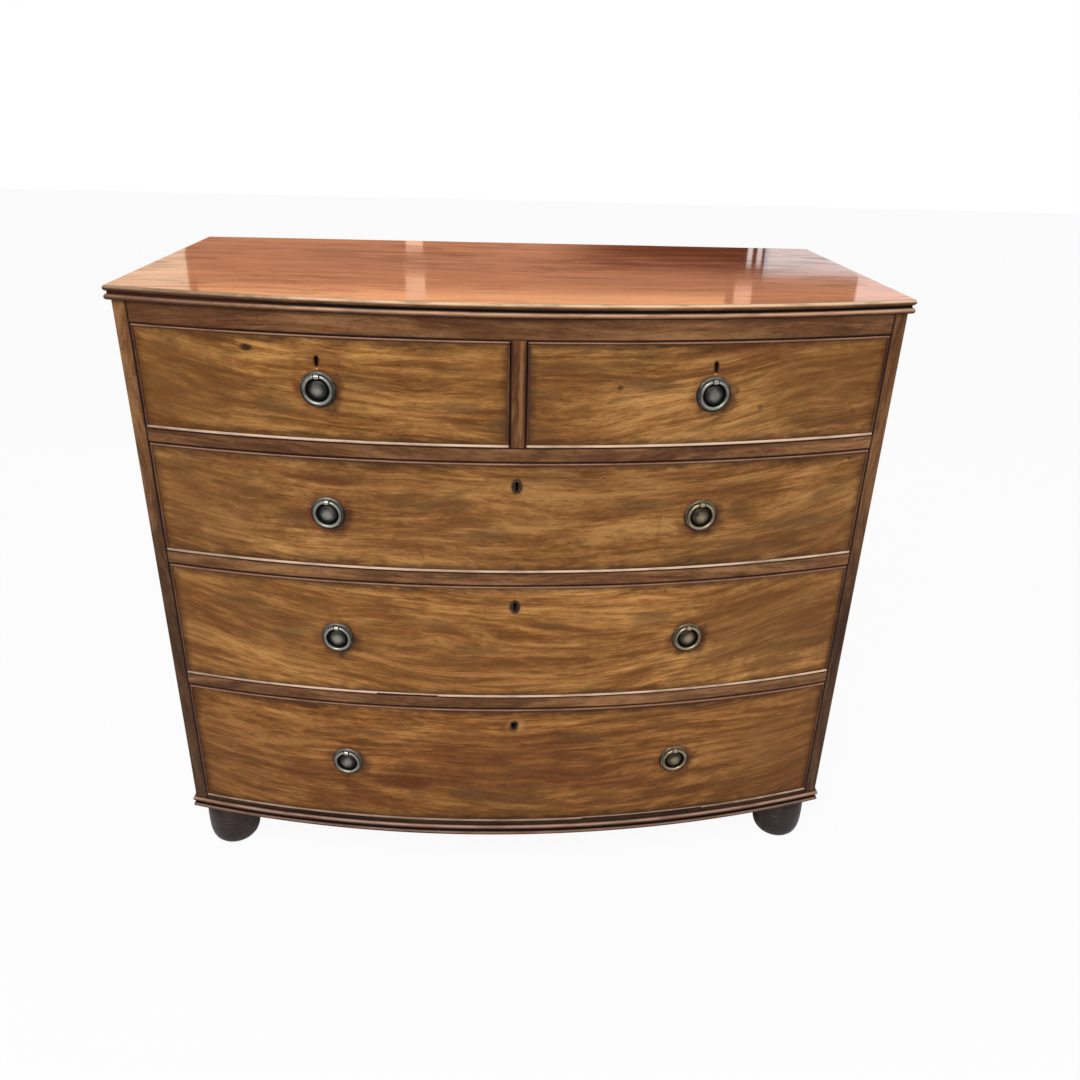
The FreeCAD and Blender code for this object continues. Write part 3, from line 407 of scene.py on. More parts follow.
def mahogany(
    name, tone, seed=0.0, lay="level", edges=None, tint=(1.0, 1.0, 1.0), crackle=0.0,
    marks=(), lines=(), lit=None, fade=None,
):
    look = dict(woodTones[tone])
    look.update({kind: colour(*value) for kind, value in look.items() if isinstance(value, tuple)})
    sh = Shader(name)
    x, y, z = sh.split()
    # the figure runs along the first of these and is finest along the last
    runs = {
        "level": (x, y, z - x * x * look["sweep"]),
        "upright": (z, y * 0.3, x + y),
        "flat": (x * 0.7, z, y * 0.6 + z),
    }[lay]
    place = sh.combine(*runs)
    # the grain wanders in a slow sway and a tight ripple
    sway = sh.noise((1.7, 3, 5), (seed, 0, 0), 2, 0.5, place=place, give="Color")
    drift = sh.shifted(place, sway, (0.16, 0.02, 0.12))
    ripple = sh.noise((9, 12, 20), (seed, 3, 1), 2, 0.5, place=drift, give="Color")
    grain = sh.shifted(drift, ripple, (0.02, 0.0, 0.010))
    wide = sh.noise((3.6, 8, 44), (seed * 3, 0, seed), 3, 0.55, 0.2, grain)
    thin = sh.noise((13, 20, 150), (seed, 0, 3), 4, 0.62, 0.0, grain)
    hair = sh.noise((60, 60, 480), (seed, 2, 0), 4, 0.75, 0.0, grain)
    figure = 0.5 + ((wide - 0.5) * 0.66 + (thin - 0.5) * 0.56 + (hair - 0.5) * 0.34) * look["figure"]
    tone = sh.ramp(figure, (0.38, look["dark"]), (0.5, look["mid"]), (0.62, look["light"]))
    # soft block mottle and short dark flecks across the figure
    patch = sh.noise((17, 8, 72), (seed * 5, 1, 3), 3, 0.5, 0.3, grain)
    gather = sh.noise((2.4, 3, 7), (seed * 7, 4, 2), 2, place=drift)
    smudge = sh.step(patch + (gather - 0.5) * 0.7 + (thin - 0.5) * 0.35, 0.52, 0.7)
    tone = sh.mix(smudge * 0.56, tone, look["smudge"])
    pale = sh.noise((17, 8, 70), (seed * 2, 7, 1), 3, 0.55, 0.2, grain)
    tone = sh.mix(sh.step(pale + (hair - 0.5) * 0.4, 0.52, 0.7) * 0.42, tone, look["light"])
    fleck = sh.step(sh.noise((42, 20, 200), (seed, 6, 2), 4, 0.7, 0.2, grain), 0.56, 0.7)
    tone = sh.mix(fleck * 0.62 * look["figure"], tone, look["dark"])
    streak = sh.step(sh.noise((9, 10, 120), (seed, 8, 4), 3, 0.5, 0.1, grain), 0.57, 0.66)
    tone = sh.mix(streak * 0.6 * look["figure"], tone, look["dark"])
    broad = sh.noise((1.6, 1.6, 4.5), (seed * 2, 5, 1), 3, 0.5, place=drift)
    tone = sh.mix(sh.step(broad, 0.42, 0.64) * 0.4 * look["figure"], tone, look["dark"])
    # open pores, specks and dents
    pore = sh.step(sh.noise((70, 150, 1400), (seed, 0, 0), 2, 0.6, 0.0, grain), 0.57, 0.7)
    speck = sh.step(sh.noise((150, 120, 210), (0, seed, 0), 3, 0.65), 0.665, 0.74)
    tone = sh.mix(pore * 0.45, tone, look["smudge"])
    tone = sh.mix(speck * 0.75, tone, look["grime"])
    height = figure * 0.4 - pore * 0.25 - speck * 0.7
    if crackle:
        crack = shakes(sh, seed, crackle)
        tone = sh.mix(crack, tone, look["grime"])
        height = height - crack * 0.9
    if edges:
        tone = edgeGrimeAndDarkEnds(sh, tone, look, seed, edges)
    if fade:
        tone = bleached(sh, tone, wide, *fade)
    tone = sh.mix(1.0, tone, tint, "MULTIPLY")
    if lit:
        tone = wornAndLit(sh, tone, seed, *lit)
    for axis, level, reach, share in lines:
        # a band darkened with the grime colour: painted shade along quirks and the gaps beside beads, rails
        # and the divider, and on the sides a broad darkening towards the bottom
        away = sh.maths("ABSOLUTE", (x, y, z)[axis] - level)
        tone = sh.mix((1 - sh.step(away, reach * 0.4, reach)) * share, tone, look["grime"])
    for across, level, halfWide, halfHigh, share, kind, axis in marks:
        # a stain, knot or worn place, or a painted shadow, shade or reflection, with a harder rim where it is
        # nearly opaque
        rag = 0.5 if share > 0.9 or axis == "Y" else 0.9
        spot = spotMask(sh, across, level, halfWide, halfHigh, axis, rag)
        tone = sh.mix(spot * share, tone, look[kind])
    worn = sh.noise((6, 6, 12), (seed, 1, 1), 3, 0.6)
    return sh.surface(
        Base_Color=tone,
        Roughness=look["rough"] + (worn - 0.5) * 0.3,
        Specular_IOR_Level=look["level"],
        Coat_Weight=look["coat"] * (1.06 - smudge * 0.24 - streak * 0.24),
        Coat_Roughness=0.07,
        Normal=sh.bump(height, 0.35, 0.6 * mm),
    )


def pine(name, seed, along, shade, board=0.0):
    sh = Shader(name)
    x, y, z = sh.split()
    if along == "box":
        # the grain of a drawer box runs back along its sides and across its back
        rear = sh.maths("GREATER_THAN", y, boxBack)
        runs = (y + (x - y) * rear, x + (y - x) * rear, z)
    elif along == "boards":
        # upright boards, each cut from another part of the log
        number = sh.maths("FLOOR", x / board + 0.5)
        runs = (z + number * 1.7, x, y + number * 0.9)
    else:
        runs = (x, y, z)
    place = sh.combine(*runs)
    sway = sh.noise((2, 4, 4), (seed, 0, 0), 2, place=place, give="Color")
    drift = sh.shifted(place, sway, (0.1, 0.05, 0.05))
    rings = sh.noise((1.8, 55, 60), (seed, 0, 0), 3, 0.5, 0.2, drift)
    fine = sh.noise((8, 400, 400), (0, seed, 0), 2, 0.5, 0.0, drift)
    base = sh.ramp(
        rings * 0.8 + fine * 0.2,
        (0.35, colour(110 * shade, 76 * shade, 44 * shade)),
        (0.52, colour(160 * shade, 120 * shade, 76 * shade)),
        (0.7, colour(186 * shade, 148 * shade, 100 * shade)),
    )
    dust = sh.step(sh.noise((9, 9, 9), (seed, 3, 0), 4, 0.6), 0.45, 0.75)
    base = sh.mix(dust * 0.5, base, colour(92, 66, 42))
    knot = sh.add("TexVoronoi", "Distance", inputs={"Vector": drift, "Scale": 5.0})
    base = sh.mix((1 - sh.step(knot, 0.03, 0.075)) * 0.8, base, colour(60, 34, 18))
    return sh.surface(
        Base_Color=base,
        Roughness=0.72 + (rings - 0.5) * 0.2,
        Specular_IOR_Level=0.15,
        Normal=sh.bump(rings + fine * 0.5, 0.3, 0.5 * mm),
    )


def darkWood(name):
    sh = Shader(name)
    grain = sh.noise((16, 16, 5), (3, 1, 0), 4, 0.6, 0.4)
    turned = sh.noise((4, 4, 220), (0, 0, 2), 3, 0.6)
    stain = ((0.35, colour(24, 16, 15)), (0.52, colour(46, 33, 30)), (0.7, colour(78, 54, 44)))
    base = sh.ramp(grain * 0.7 + turned * 0.3, *stain)
    scuff = sh.step(sh.noise((60, 60, 30), (1, 2, 3), 4, 0.7), 0.62, 0.72)
    base = sh.mix(scuff * 0.4, base, colour(112, 84, 66))
    return sh.surface(
        Base_Color=base,
        Roughness=0.45 + (grain - 0.5) * 0.3,
        Specular_IOR_Level=0.3,
        Coat_Weight=0.15,
        Coat_Roughness=0.2,
        Normal=sh.bump(grain * 0.6 + turned * 0.4, 0.3, 0.5 * mm),
    )


def agedBrass(name, body, bright, seed=0.0, polish=0.3):
    sh = Shader(name)
    wearAndLight = sh.add("Attribute", "Fac", {"attribute_name": "wearAndLight"})
    cloud = sh.noise((90, 90, 90), (seed, 0, 0), 4, 0.65)
    pit = sh.step(sh.noise((600, 600, 600), (seed, 1, 0), 3, 0.6), 0.6, 0.72)
    # the attribute mixes wear with painted highlight; where it is near zero, under the ring and round the
    # dome, the colour goes near black as painted shade
    wornAndLit = sh.step(wearAndLight + (cloud - 0.5) * 0.7, 0.2, 0.95)
    hollowShade = 1 - sh.step(wearAndLight, 0.02, 0.2)
    base = sh.mix(wornAndLit, body, bright)
    base = sh.mix(sh.step(cloud, 0.5, 0.75) * 0.35, base, colour(78, 68, 52))
    base = sh.mix(pit * 0.5, base, colour(22, 20, 17))
    base = sh.mix(hollowShade * 0.9, base, colour(15, 13, 11))
    return sh.surface(
        Base_Color=base,
        Metallic=0.85 - (1 - wornAndLit) * 0.3,
        Roughness=polish + (1 - wornAndLit) * 0.16 + (cloud - 0.5) * 0.2,
        Normal=sh.bump(cloud * 0.5 - pit * 0.6, 0.25, 0.3 * mm),
    )


looks = {}
fronts = {
    # seed of the figure, tint, crackle, and marks in mm: x, z, half width, half height, share and
    # kind, which is "smudge" where it isn't given
    "top_left": (1.3, (0.96, 0.93, 0.82), 0.4, [
        (-348, 882, 12, 7, 0.97, "grime"), (-324, 807, 36, 17, 0.6), (-458, 877, 39, 12, 0.5),
        (-398, 851, 36, 9, 0.4), (-197, 839, 50, 16, 0.3), (-75, 814, 50, 13, 0.5),
        (-27, 791, 18, 17, 0.55), (-99, 888, 45, 10, 0.4), (-250, 876, 48, 16, 0.5, "red"),
        (-440, 830, 130, 90, 0.55, "dark"),
    ]),
    "top_right": (4.1, (0.98, 0.97, 0.92), 0.5, [
        (78, 869, 64, 11, 0.4), (132, 843, 6, 5, 0.7, "grime"), (178, 846, 50, 13, 0.5),
        (322, 889, 72, 18, 0.5, "red"), (326, 812, 6, 5, 0.6, "grime"), (465, 800, 7, 5, 0.5, "grime"),
        (34, 834, 32, 9, 0.4), (424, 796, 88, 18, 0.4), (29, 783, 34, 11, 0.35),
        (420, 840, 140, 80, 0.4, "dark"),
    ]),
    "upper": (7.7, (1.03, 1.02, 0.97), 0.9, [
        (-459, 715, 55, 13, 0.5), (-313, 647, 44, 15, 0.55), (-372, 687, 38, 10, 0.45),
        (-252, 704, 50, 8, 0.55, "red"), (-36, 634, 48, 15, 0.45), (-131, 676, 40, 13, 0.35),
        (58, 714, 78, 11, 0.4), (170, 677, 56, 14, 0.55), (412, 636, 88, 14, 0.5),
        (331, 605, 68, 16, 0.45), (313, 665, 20, 18, 0.45), (-410, 660, 150, 100, 0.5, "dark"),
    ]),
    "middle": (12.9, (1.12, 1.09, 0.98), 0.9, [
        (202, 497, 48, 15, 0.55), (450, 425, 76, 16, 0.45), (54, 488, 36, 11, 0.4),
        (-56, 448, 46, 16, 0.5), (-120, 489, 60, 12, 0.4), (-335, 460, 40, 16, 0.55),
        (-400, 510, 60, 11, 0.4), (400, 470, 200, 120, 0.7, "dark"),
    ]),
    "lower": (18.3, (0.93, 0.83, 0.69), 1.0, [
        (-177, 197, 80, 19, 0.6, "red"), (-68, 180, 52, 15, 0.5), (-321, 204, 60, 22, 0.55, "red"),
        (-248, 289, 94, 11, 0.4), (-20, 250, 200, 90, 0.42, "red"), (-400, 240, 140, 100, 0.3, "dark"),
        (100, 287, 45, 14, 0.5), (240, 300, 50, 10, 0.4), (140, 197, 120, 18, 0.45, "red"),
        (440, 210, 50, 30, 0.35), (420, 220, 160, 120, 0.4, "dark"), (-244, 155, 98, 17, 0.4, "red"),
    ]),
}
chippedRow = "lower"  # its keyhole has lost its thread and its edges
bareWood = [(5, -3, 19, 18, 0.7, "light")]  # round the chipped keyhole
# a reddish stain round each handle plate, and a painted shadow below it to the right
handleStainAndShadow = [(0, -1, 40, 38, 0.8, "red"), (7, -6, 34, 33, 0.7, "grime")]
# painted shade in the grime colour over and round each keyhole; the near-black hole tone paints the shade in
# the chipped keyhole's recess
keyholeShadeAndGrime = {
    "top_left": [(0, -4, 5.5, 11, 0.97, "grime")],
    "top_right": [(0, -4, 5.5, 11, 0.97, "grime")],
    "upper": [(0, -4, 10.5, 15, 0.97, "grime")],
    "middle": [(0, -4, 10.5, 15, 0.97, "grime")],
    "lower": [(0, -4, 10, 13, 0.8, "grime"), (2.5, 0, 9, 11, 1.0, "hole")],
}


def placed(marks, x=0.0, z=0.0, axis="Z"):
    # marks whose places are measured in mm from x and z
    for right, up, halfWide, halfHigh, share, *kind in marks:
        kind = kind[0] if kind else "smudge"
        yield x + right * mm, z + up * mm, halfWide * mm, halfHigh * mm, share, kind, axis


for row, (seed, tint, crackle, marks) in fronts.items():
    span, face = rows[row], 4 * mm
    rim = (span["left"] + face, span["right"] - face, span["low"] + face, span["high"] - face)
    keyAt = (keyPlace(row), span["high"] - keyDrop)
    spots = [*placed(bareWood, *keyAt)] if row == chippedRow else []
    spots += placed(marks)
    for x in handlePlaces(row):
        spots += placed(handleStainAndShadow, x, (span["low"] + span["high"]) / 2)
    spots += placed(keyholeShadeAndGrime[row], *keyAt)
    looks[row] = mahogany(f"mahogany_{row}_front", "front", seed, "level", rim, tint, crackle, spots)

# painted shade lines, in the grime colour, given by their axis, place, reach and share: along the rails'
# edges beside the beads, and a wide band between the lowest bead and the moulding
railEdgeShade = [(2, level * mm, 2.8 * mm, 0.92) for level in (903, 761, 740, 575, 554, 364, 343)]
railEdgeShade.append((2, 119 * mm, 11 * mm, 0.85))
# the two high patches are painted shadow on the frieze under the top's overhang; the low one darkens the
# bottom rail at the right
railMarks = [
    (-450, 917, 140, 30, 0.5, "dark"), (20, 917, 220, 30, 0.45, "dark"),
    (400, 108, 200, 20, 0.4, "dark"),
]
looks["rail"] = mahogany("mahogany_rails", "case", 5.5, lines=railEdgeShade, marks=placed(railMarks))

# darker red patches on the top: partly red stains, partly painted dark reflections of the room, the largest
# at the back right
topStainsAndReflections = [
    (400, 200, 240, 200, 0.4, "red"), (-130, 150, 30, 20, 0.6, "red"), (120, 60, 300, 30, 0.4, "red"),
    (360, -20, 160, 20, 0.5, "red"), (300, -100, 120, 16, 0.4, "red"),
]
bleachedStrip = (0.19, 0.8, (1.3, 1.45, 1.3))  # depth, share and tint
topLook = {"marks": placed(topStainsAndReflections, axis="Y"), "fade": bleachedStrip}
looks["top"] = mahogany("mahogany_top", "top", 2.2, "flat", **topLook)

# lit is a painted highlight on the arris that faces up, partly worn polish: where it starts and ends, by how
# far it faces up, its share and its colour
# painted shade in the two quirks of the top's edge; each reed gets a painted highlight on its upper side,
# dimmer on the lower reed
quirkShade = [(2, 0.9404, 0.0031, 1.0), (2, 0.931, 0.0026, 0.9)]
leftReed = [(-500, 940, 300, 40, 0.6, "dark")]
highReed = {"marks": placed(leftReed), "lines": quirkShade, "lit": (-0.2, 0.6, 1.0, colour(222, 188, 150))}
looks["highReed"] = mahogany("mahogany_upper_reed", "edge", 2.8, **highReed)
lowReed = {"marks": placed(leftReed), "lines": quirkShade, "lit": (-0.3, 0.5, 1.0, colour(196, 152, 122))}
looks["lowReed"] = mahogany("mahogany_lower_reed", "edge", 2.4, **lowReed)

postMarks = [(3.5, 830, 3.5, 110, 0.6, "light")]
# painted shade in the gaps beside the divider
postEdgeShade = [(0, side * 10.5 * mm, 3.2 * mm, 0.85) for side in (-1, 1)]
postLook = {"marks": placed(postMarks), "lines": postEdgeShade, "tint": (0.9, 0.86, 0.78)}
looks["post"] = mahogany("mahogany_uprights", "case", 3.1, "upright", **postLook)
# painted shade in the gaps between the sides' front edges and the drawers
sideEdgeShade = [(0, side * 504 * mm, 3.6 * mm, 0.92) for side in (-1, 1)]
# the sides also darken towards the bottom
darkerBelow = (2, 0.08, 0.75, 0.6)
looks["side"] = mahogany("mahogany_sides", "case", 9.4, "upright", lines=[*sideEdgeShade, darkerBelow])

# painted shade in the quirk between the reeds, over the moulding's top and along its bottom, and a painted
# highlight on the arrises that face up
mouldingLook = {
    "lines": [(2, 0.1055, 0.0046, 1.0), (2, 0.1162, 0.0022, 0.95), (2, 0.096, 0.0026, 0.9)],
    "lit": (-0.1, 0.7, 0.9, colour(184, 148, 130)),
    "tint": (0.66, 0.56, 0.52),
}
looks["moulding"] = mahogany("mahogany_moulding", "case", 6.2, **mouldingLook)
# lit paints a highlight over nearly the whole front of each lower bead; the marks dim it along the bottom
# drawer and at the left end
lowBeadLook = {
    "marks": placed([(0, 125, 900, 30, 0.5, "dark"), (-500, 460, 200, 500, 0.35, "dark")]),
    "lit": (-1.0, -0.2, 1.0, colour(216, 184, 156)),
}
looks["lowBead"] = mahogany("mahogany_lower_beads", "bead", 8.8, **lowBeadLook)
# a painted highlight on the upward side of each upper bead
highBeadLit = (-0.3, 0.6, 0.85, colour(168, 124, 98))
looks["highBead"] = mahogany("mahogany_upper_beads", "bead", 8.4, lit=highBeadLit)
looks["beadUpright"] = mahogany("mahogany_upright_beads", "bead", 8.1, "upright")

looks["feet"] = darkWood("dark_stained_feet")
looks["carcassPine"] = pine("carcass_pine", 1.0, "across", 0.8)
looks["backPine"] = pine("back_pine", 4.0, "boards", 0.62, backs["pitch"])
looks["drawerSides"] = pine("drawer_sides", 7.0, "box", 0.95)
looks["drawerBottoms"] = pine("drawer_bottoms", 2.0, "across", 0.85)

pewter = (colour(30, 30, 28), colour(178, 175, 164))
olive = (colour(46, 38, 26), colour(184, 166, 132))
looks["brassLeft"] = agedBrass("aged_brass_left", *pewter, 1.0)
looks["brassRight"] = agedBrass("aged_brass_right", *olive, 3.0)
looks["threadBrass"] = agedBrass("keyhole_brass", colour(44, 37, 28), colour(126, 108, 80), 7.0, 0.42)
looks["lockBrass"] = agedBrass("lock_brass", colour(120, 92, 48), colour(196, 160, 96), 5.0, 0.36)
print("finishes:", len(looks))

reeds = {**measures(high=7.8, quirk=3.9, gap=3.4), "steps": 10}


def reedSteps():
    # insets and levels up the edge of a slab with two reeds
    for base in (0.0, reeds["high"] + reeds["gap"]):
        for step in range(reeds["steps"] + 1):
            angle = math.pi * (step / reeds["steps"] - 0.5)
            depth = reeds["quirk"] * (1 - math.cos(angle))
            yield depth, base + reeds["high"] / 2 * (1 + math.sin(angle))


def lidOf(bm):
    return max(bm.faces, key=lambda face: face.calc_area() * (face.normal.z > 0.9))


def reededSlab(x, inset, base, lip):
    # a flat slab whose outline steps in and out as it rises, and whose edge starts and ends at lip
    bm = bmesh.new()
    bmesh.ops.create_grid(bm, x_segments=1, y_segments=1, size=0.5)
    bmesh.ops.scale(bm, vec=(2 * (x - lip), inset[1] - inset[0] - 2 * lip, 1), verts=bm.verts)
    bmesh.ops.translate(bm, vec=(0, (inset[0] + inset[1]) / 2, base), verts=bm.verts)
    depth, level = lip, 0.0
    whole = 2 * reeds["high"] + reeds["gap"]
    for nextDepth, nextLevel in [*reedSteps(), (lip, whole)]:
        if abs(nextDepth - depth) + abs(nextLevel - level) < 1e-7:
            continue
        bmesh.ops.inset_region(
            bm,
            faces=[lidOf(bm)],
            use_boundary=True,
            use_even_offset=True,
            thickness=nextDepth - depth,
            depth=nextLevel - level,
        )
        depth, level = nextDepth, nextLevel
    return bm


beyond = 640 * mm  # how far a slab runs back before it is cut square
topEdge = measures(x=532, front=-7, back=278, groove=940.5, flat=949.5)
slab = reededSlab(topEdge["x"], (topEdge["front"], beyond), case["top"], reeds["quirk"])
bmesh.ops.holes_fill(slab, edges=[edge for edge in slab.edges if edge.is_boundary])
bend(slab)
cutBack(slab, topEdge["back"])
top = finish("reeded_top", slab, "carcase", looks["top"], ["top_board"], 30)
top.data.materials.append(looks["highReed"])
top.data.materials.append(looks["lowReed"])
for face in top.data.polygons:
    if abs(face.normal.z) < 0.95 or face.center.z < topEdge["flat"]:
        face.material_index = 1 if face.center.z > topEdge["groove"] else 2

skirt = measures(x=529.5, front=-4.5, lip=4.5)
moulding = reededSlab(skirt["x"], (skirt["front"], beyond), case["foot"], skirt["lip"])
bmesh.ops.delete(moulding, geom=[lidOf(moulding)], context="FACES")
bmesh.ops.bridge_loops(moulding, edges=[edge for edge in moulding.edges if edge.is_boundary])
bend(moulding)
cutBack(moulding, case["backY"])
replaced = ["base_moulding"]
finish("reeded_base_moulding", moulding, "carcase", looks["moulding"], replaced, 30)

sidePanel = measures(deep=560, ease=1.2, past=5)  # past is how far a cutter runs beyond the wood
upright = (case["foot"], case["top"])
for hand, name in ((-1, "left_side"), (1, "right_side")):
    panel = bmesh.new()
    across = sorted((hand * case["half"], hand * case["inside"]))
    bar(panel, across, (0.0, sidePanel["deep"]), upright, sidePanel["ease"], 3)
    bend(panel, 7 * mm)
    cutBack(panel, case["backY"])
    # the rebate for the back boards
    rebate = bmesh.new()
    past = sidePanel["past"]
    across = sorted((hand * (case["inside"] - past), hand * backs["half"]))
    bar(rebate, across, (backs["front"], case["backY"] + past), (case["foot"] - past, case["top"] + past), 0)
    finish(f"{name}_panel", panel, "carcase", looks["side"], [name], 30, [tool(rebate)])

boards = bmesh.new()
for number in range(backs["count"]):
    left = backs["pitch"] * number - backs["half"] + backs["gap"]
    across = (left, left + backs["pitch"] - 2 * backs["gap"])
    bar(boards, across, (backs["front"], case["backY"]), upright, backs["ease"])
finish("planed_back_boards", boards, "carcase", looks["backPine"], ["back_boards"])

facings = {  # bottom and top in mm
    "frieze_facing": (903, 931),
    "upper_rail_facing": (740, 761),
    "middle_rail_facing": (554, 575),
    "lower_rail_facing": (343, 364),
    "bottom_rail_facing": (96, 123),
}
facing = measures(proud=0.15, deep=0.9, ease=0.4)
for name, (low, high) in facings.items():
    strip = bmesh.new()
    inset = (-facing["proud"], facing["deep"])
    bar(strip, (-case["inside"], case["inside"]), inset, (low * mm, high * mm), facing["ease"])
    bend(strip)
    finish(name, strip, "carcase", looks["rail"])
divider = measures(half=10.5, proud=0.3, deep=1.4, ease=0.9)
post = bmesh.new()
across, level = (-divider["half"], divider["half"]), (rows["top_left"]["low"], rows["top_left"]["high"])
bar(post, across, (-divider["proud"], divider["deep"]), level, divider["ease"], 3)
bend(post, 5 * mm)
finish("divider_facing", post, "carcase", looks["post"])

foot = measures(x=481, front=-151, rear=229)
footLine = [  # radius and height in mm, up one side of a turned foot and its spigot
    (0, 0), (24, 0), (29, 0.9), (33.4, 3.4), (37, 8), (39.4, 14), (41, 21.5), (41.8, 30), (42, 38),
    (42, 52), (41.5, 52.6), (41.5, 54), (42, 54.6), (41.8, 62), (40.4, 69), (37.4, 73.8), (34.6, 75.6),
    (33.6, 77), (33.6, 79), (35, 80.4), (37.4, 81), (38, 82), (38, 95), (37.4, 96), (13, 96), (13, 109),
    (0, 109),
]
bases = bmesh.new()
for x in (-foot["x"], foot["x"]):
    for y in (foot["front"], foot["rear"]):
        turned = bmesh.new()
        lathe(turned, [(radius * mm, 0, level * mm) for radius, level in footLine], (0, 0, 1), steps=56)
        join(bases, turned, Matrix.Translation((x, y, 0)))
finish("turned_feet", bases, "carcase", looks["feet"], ["feet"], 32)
print("carcase done")

# reach is how far the cutter runs in front of the face and behind it
keyhole = measures(radius=3.1, wide=3.4, long=11.6, aside=0, reach=9)
chippedKeyhole = measures(radius=4.6, wide=9.4, long=7, aside=1.5, reach=9)
# the lock's notch in the upper bead, measured from the middle of the front's top edge
lockNotch = measures(half=28.3, front=8.8, back=40, low=-2.2, high=4)
veneer = measures(proud=0.15, deep=1.2)
# whole is the depth of the slips above and below a front, more the extra height of the lower ones,
# and stump how far behind the face a broken one ends
bead = measures(gap=1, thick=3, proud=2, deep=7, whole=22, more=0.5, stump=0.4)
lost = {  # stretches of lower bead that have broken away: the two ends along the front
    "middle": (-205 * mm, -115 * mm),
    "lower": (115 * mm, 315 * mm),
}


def keyCutters(row):
    hole = chippedKeyhole if row == chippedRow else keyhole
    place = seat(keyPlace(row) + hole["aside"], rows[row]["high"] - keyDrop)
    rim, reach = hole["radius"], hole["reach"]
    turned = bmesh.new()
    lathe(turned, [(0, -reach, 0), (rim, -reach, 0), (rim, reach, 0), (0, reach, 0)], (0, 1, 0), steps=24)
    slot = bmesh.new()
    half, reach = hole["wide"] / 2, reach - 0.1 * mm
    bar(slot, (-half, half), (-reach, reach), (-hole["long"], 0.0), 0)
    return [tool(turned, place), tool(slot, place)]


def lockCutter(row):
    notch = bmesh.new()
    half, level = lockNotch["half"], (lockNotch["low"], lockNotch["high"])
    bar(notch, (-half, half), (lockNotch["front"], lockNotch["back"]), level, 0)
    return tool(notch, seat(keyPlace(row), rows[row]["high"] - bead["gap"]))


def frontVeneer(row, face):
    span = rows[row]
    across, level = (span["left"] + face, span["right"] - face), (span["low"] + face, span["high"] - face)
    sheet = bend(bar(bmesh.new(), across, (-veneer["proud"], veneer["deep"]), level, 0))
    look = looks[row]
    finish(f"{row}_front_veneer", sheet, f"{row}_drawer", look, cutters=keyCutters(row))


def levelBead(row, edge, level, cutters=()):
    ends = (rows[row]["left"] + bead["gap"], rows[row]["right"] - bead["gap"])
    pieces = [ends]
    slips = bmesh.new()
    if edge == "low" and row in lost:
        start, stop = lost[row]
        pieces = [(ends[0], start), (stop, ends[1])]
        whole = (level[0] + bead["more"], level[0] + bead["more"] + bead["thick"])
        joinBowed(slips, lost[row], (bead["stump"], bead["whole"]), whole, 0.25 * mm)
    for piece in pieces:
        joinBowed(slips, piece, (-bead["proud"], bead["whole"]), level, 1.4 * mm, 4)
    replaced = [f"{row}_drawer_cockbeads"]
    name, look = f"{row}_{edge}_bead", looks[f"{edge}Bead"]
    finish(name, slips, f"{row}_drawer", look, replaced, cutters=cutters)


def uprightBeads(row, face):
    span, gap = rows[row], bead["gap"]
    slips = bmesh.new()
    for across in ((span["left"] + gap, span["left"] + face), (span["right"] - face, span["right"] - gap)):
        level = (span["low"] + face, span["high"] - face)
        joinBowed(slips, across, (-bead["proud"], bead["deep"]), level, 1.3 * mm, 4, 3 * mm)
    replaced = [f"{row}_drawer_cockbeads"]
    finish(f"{row}_upright_beads", slips, f"{row}_drawer", looks["beadUpright"], replaced)


for row, span in rows.items():
    face = bead["gap"] + bead["thick"]
    frontVeneer(row, face)
    base, more = span["low"] + bead["gap"], bead["more"]
    levelBead(row, "low", (base - more, base + bead["thick"] + more / 2))
    levelBead(row, "high", (span["high"] - face, span["high"] - bead["gap"]), [lockCutter(row)])
    uprightBeads(row, face)
print("drawer fronts done")

plate = {  # in mm
    "dome": 13.4,
    "crown": 6.4,  # how far the dome stands out
    "foot": 1.2,
    "border": [
        (13.7, 0.8), (14.4, 0.5), (16.2, 0.5), (16.6, 0.8), (19.0, 0.9), (19.8, 1.3), (20.2, 2.0),
        (20.8, 2.5), (21.6, 2.8), (22.6, 2.6), (23.4, 2.1), (23.9, 1.2), (24.0, 0.4), (23.9, 0.0),
        (0.0, 0.0),
    ],  # radius and how far out, from the dome's rim round to the back
}
pearls = {**measures(radius=0.85, away=20.6, out=2.2), "count": 60}
knuckle = measures(bore=1.35, ease=2.7, radius=3.2)
stand = measures(across=2.8, up=2.9, front=-2.7, back=-0.6, ease=0.5)
stud = measures(radius=2.5, tip=2.2, chamfer=26.5, long=27)
nut = measures(half=6, start=22.15, stop=26.15, ease=0.6)
ring = {**measures(radius=18, wire=2.1, out=4.2, pin=1.2), "gap": math.radians(14)}
ring["pinZ"] = ring["radius"] * math.cos(ring["gap"])


def brassMesh():
    # how bright each point is goes into this float attribute: wear, and on the handles painted highlight and
    # painted shade as well
    bm = bmesh.new()
    bm.verts.layers.float.new("wearAndLight")
    return bm


def markBrightness(bm, wearAndLight):
    layer = bm.verts.layers.float["wearAndLight"]
    for vert in bm.verts:
        vert[layer] = wearAndLight(vert.co) if callable(wearAndLight) else wearAndLight
    return bm


def plateWearAndLight(point):
    # the upper half of the rim is lighter, a painted highlight; under the ring and in the channel round the
    # dome it is near black, painted shade; the dome's crown is brighter, partly wear and partly painted
    # highlight
    radius = math.hypot(point.x, point.z) / mm
    if radius > 20.9:
        return 0.24 + 0.26 * max(0.0, point.z / mm / radius)
    if radius > 16.4:
        return 0.05
    if radius > plate["dome"] - 0.3:
        return 0.0
    return 0.14 + 0.5 * min(1.0, max(0.0, (-point.y / mm - 3.2) / 3.2)) ** 2


